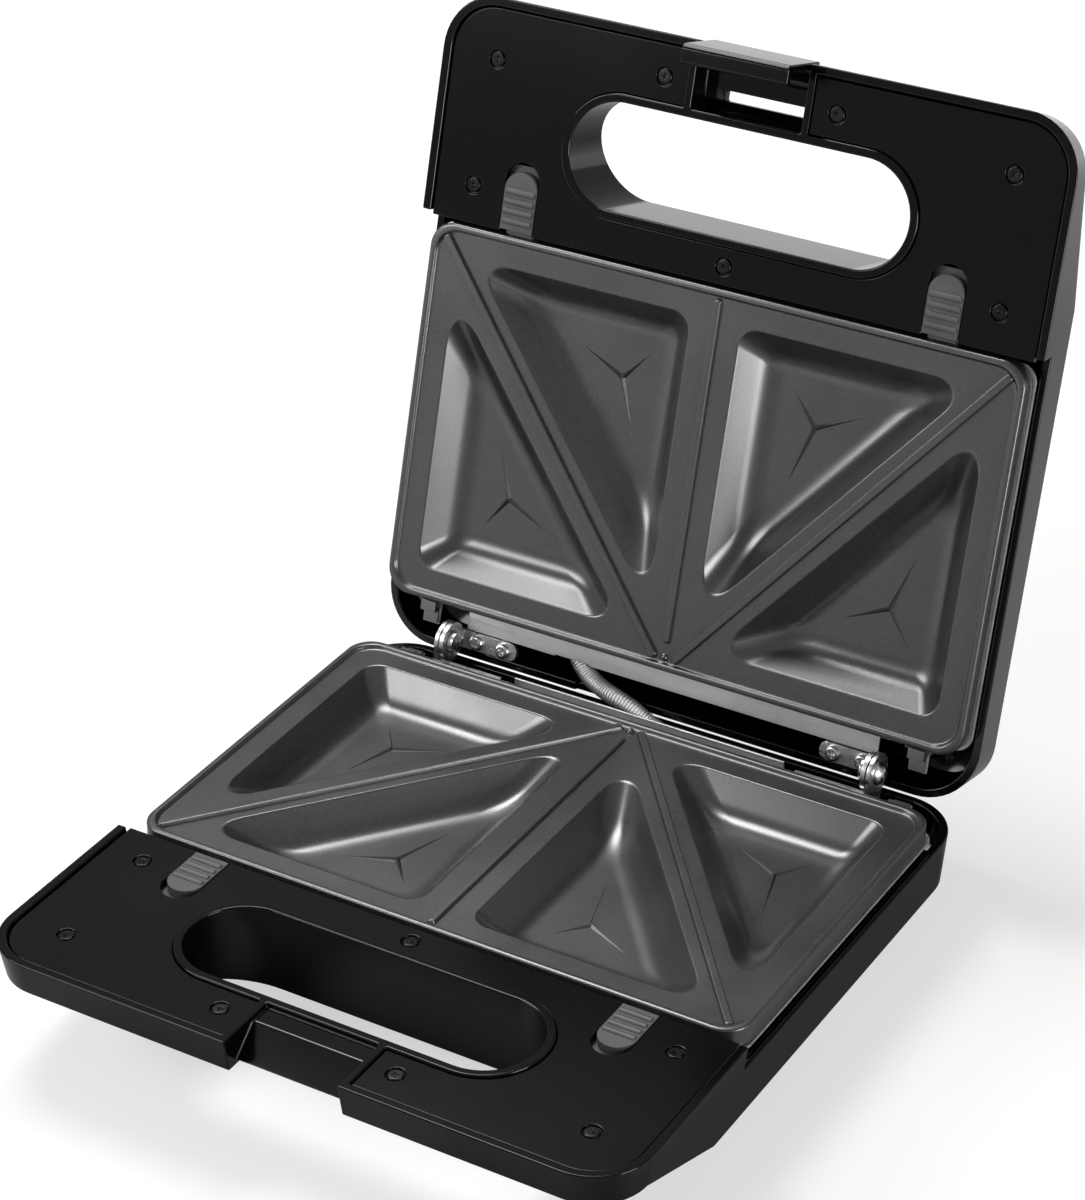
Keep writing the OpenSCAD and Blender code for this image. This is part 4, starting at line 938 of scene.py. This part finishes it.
# %% Corners of a blank
def round_corners(half, node, spots, radius_mm):
    """Rounds the upright edges at these places of the half frame, on a fresh copy of the node's mesh."""
    to_half = HALVES[half].inverted()
    piece = bpy.data.objects.new(node + "_blank", nodes[node].data.copy())
    bpy.context.scene.collection.objects.link(piece)
    alone(piece)
    bpy.ops.mesh.customdata_custom_splitnormals_clear()
    edit(piece, "EDGE")
    bpy.ops.mesh.select_all(action="SELECT")
    bpy.ops.mesh.remove_doubles(threshold=0.02 * MM)
    bpy.ops.mesh.dissolve_limited(angle_limit=CLEAN_ANGLE, delimit={"NORMAL"})
    for x, y in spots:
        select_by_place(piece, "edges", lambda e: all(near(to_half @ v.co, x, y, 0.06) for v in e.verts))
        bpy.ops.mesh.bevel(offset=radius_mm * MM, segments=6, affect="EDGES")
    bpy.ops.object.mode_set(mode="OBJECT")
    return piece


EAR_CORNERS, EAR_CORNER_R = [(60, 82.4), (60, 75.9)], 2.9
print("corners of", EAR_CORNER_R, "mm")

# %% Liners, brackets, clips and rivets
for half in HALVES:
    rounded_copy(half + "_liner", half + "_steel_liner", 0.18, 2)
    rounded_copy(half + "_plate_clips", half + "_spring_clips", 0.15, 2, finish="clip_steel")
for side in ("left", "right"):
    rounded_copy("base_hinge_bracket_" + side, "base_ear_" + side, 0.22, 2)
    rounded_copy("hinge_rivet_" + side, "ear_rivet_" + side, 0.15, 2, angle=40)
for side, sign in (("left", -1), ("right", 1)):
    node = "lid_hinge_bracket_" + side
    piece = round_corners("lid", node, [(sign * x, y) for x, y in EAR_CORNERS], EAR_CORNER_R)
    apply_modifier(piece, "BEVEL", width=0.22 * MM, segments=2, limit_method="ANGLE",
                   angle_limit=math.radians(28), use_clamp_overlap=True)
    smooth(piece)
    piece.name = "lid_ear_" + side
    dress(piece, slot_of[node], "lid", [node])
print("pressings done")

# %% [markdown]
# ## Wound wire
#
# The conduit is a steel wire wound close on itself, so that it bends like a hose, and the release
# springs are open coils. Both are one long curve with a round section: the curve runs round a centre
# line, which for the conduit is a smooth B-spline from the base, behind the plates, into the lid. Inside
# it lie three sleeved leads. The Screw modifier makes such coils too, but only straight ones.

# %% Poles of the conduit
LID_POLES = [Vector((-41.9, y * math.cos(LID_OPEN) + 12.2 * math.sin(LID_OPEN),
                     -y * math.sin(LID_OPEN) + 12.2 * math.cos(LID_OPEN)))
             for y in (-9.85, -16.45, -23.05)]
POLES = ([Vector((15.45 - 6.6 * i, 0.3, -14)) for i in (-1, 0, 1)]
         + [Vector(p) for p in ((-2.5, 0.3, -9.3), (-12.6, 2.5, -5.3), (-18.8, 3, -4.7),
                                (-34.5, 10, -4.1))]
         + LID_POLES)
print(len(POLES), "poles")

# %% Helpers for a wound line
def on_spline(poles, count):
    points = []
    spans = len(poles) - 3
    for k in range(count + 1):
        place = min(k / count * spans, spans - 1e-9)
        i, t = int(place), place - int(place)
        weights = ((1 - t) ** 3, 3 * t ** 3 - 6 * t ** 2 + 4, -3 * t ** 3 + 3 * t ** 2 + 3 * t + 1, t ** 3)
        points.append(sum((w * pole for w, pole in zip(weights, poles[i:i + 4])), Vector()) / 6)
    return points


def evenly(points, count):
    run = [0.0]
    for a, b in zip(points, points[1:]):
        run.append(run[-1] + (b - a).length)
    out, j = [], 0
    for k in range(count + 1):
        target = run[-1] * k / count
        while j < len(run) - 2 and run[j + 1] < target:
            j += 1
        share = (target - run[j]) / (run[j + 1] - run[j])
        out.append(points[j].lerp(points[j + 1], share))
    return out, run[-1]


def wind(points, radius, turns, start=0.0, hint=Vector((0, 1, 0))):
    out = []
    for i, point in enumerate(points):
        ahead = (points[min(i + 1, len(points) - 1)] - points[max(i - 1, 0)]).normalized()
        u = ahead.cross(hint).normalized()
        v = ahead.cross(u)
        angle = 2 * math.pi * turns * i / (len(points) - 1) + start
        out.append(point + (u * math.cos(angle) + v * math.sin(angle)) * radius)
    return out


print("lines can be spaced evenly and wound")

# %% A wire with a round section
def draw_wire(name, strands, radius, place, sides=2):
    data = bpy.data.curves.new(name, "CURVE")
    data.dimensions = "3D"
    data.bevel_depth = radius * MM
    data.bevel_resolution = sides
    data.use_fill_caps = True
    for points in strands:
        line = data.splines.new("POLY")
        line.points.add(len(points) - 1)
        for point, where in zip(line.points, points):
            point.co = (*(place @ (where * MM)), 1)
    piece = bpy.data.objects.new(name, data)
    bpy.context.scene.collection.objects.link(piece)
    alone(piece)
    bpy.ops.object.convert(target="MESH")
    piece = bpy.context.object
    smooth(piece, 60)
    return piece


print("wires can be drawn")

# %% Centre line of the conduit
AT_HINGE = IN_BASE @ Matrix.Translation(Vector((0, HINGE_Y, 0)) * MM)
TURNS, WIRE_D, SHEATH_D = 62, 1.1, 6.5
SPLINE_STEPS, POINTS_A_TURN = 400, 18
centre_line, conduit_length = evenly(on_spline(POLES, SPLINE_STEPS), TURNS * POINTS_A_TURN)
print("conduit", round(conduit_length, 1), "mm long")

# %% Conduit and its leads
sheath = draw_wire("wound_conduit", [wind(centre_line, (SHEATH_D - WIRE_D) / 2, TURNS)], WIRE_D / 2,
                   AT_HINGE)
dress(sheath, "conduit_steel", None, ["conduit_sheath"])
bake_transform(sheath)
lead_line, lead_length = evenly(on_spline(POLES, SPLINE_STEPS), 90)
LEAD_R, LEAD_LAY_R, LEAD_TURNS = 0.92, 1.12, 2
strands = [wind(lead_line, LEAD_LAY_R, LEAD_TURNS, k * 2 * math.pi / 3) for k in range(3)]
leads = draw_wire("conduit_leads", strands, LEAD_R, AT_HINGE, 3)
dress(leads, "wire_sleeve", None, ["conduit_wires"])
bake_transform(leads)
print("sheath", len(sheath.data.polygons), "faces, leads", round(lead_length, 1), "mm long")

# %% [markdown]
# ## Release springs
#
# A coil behind each button brings it back after the push. It is wound like the conduit, but open.

# %% Release springs
SEAT_Y, FREE_Y, SPRING_Z = -101.35, -91.85, -7.6
COIL_R, COIL_WIRE_R, COIL_TURNS, COIL_POINTS = 1.9, 0.3, 6, 144
for half in HALVES:
    for side, place in BUTTONS.items():
        node = half + "_release_spring_" + side
        seat, free = Vector((place, SEAT_Y, SPRING_Z)), Vector((place, FREE_Y, SPRING_Z))
        line = [seat.lerp(free, k / COIL_POINTS) for k in range(COIL_POINTS + 1)]
        coil = wind(line, COIL_R, COIL_TURNS, 0, Vector((1, 0, 0)))
        spring = draw_wire(node + "_coil", [coil], COIL_WIRE_R, HALVES[half])
        dress(spring, "spring_steel", half, [node])
        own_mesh(spring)
print("four springs")
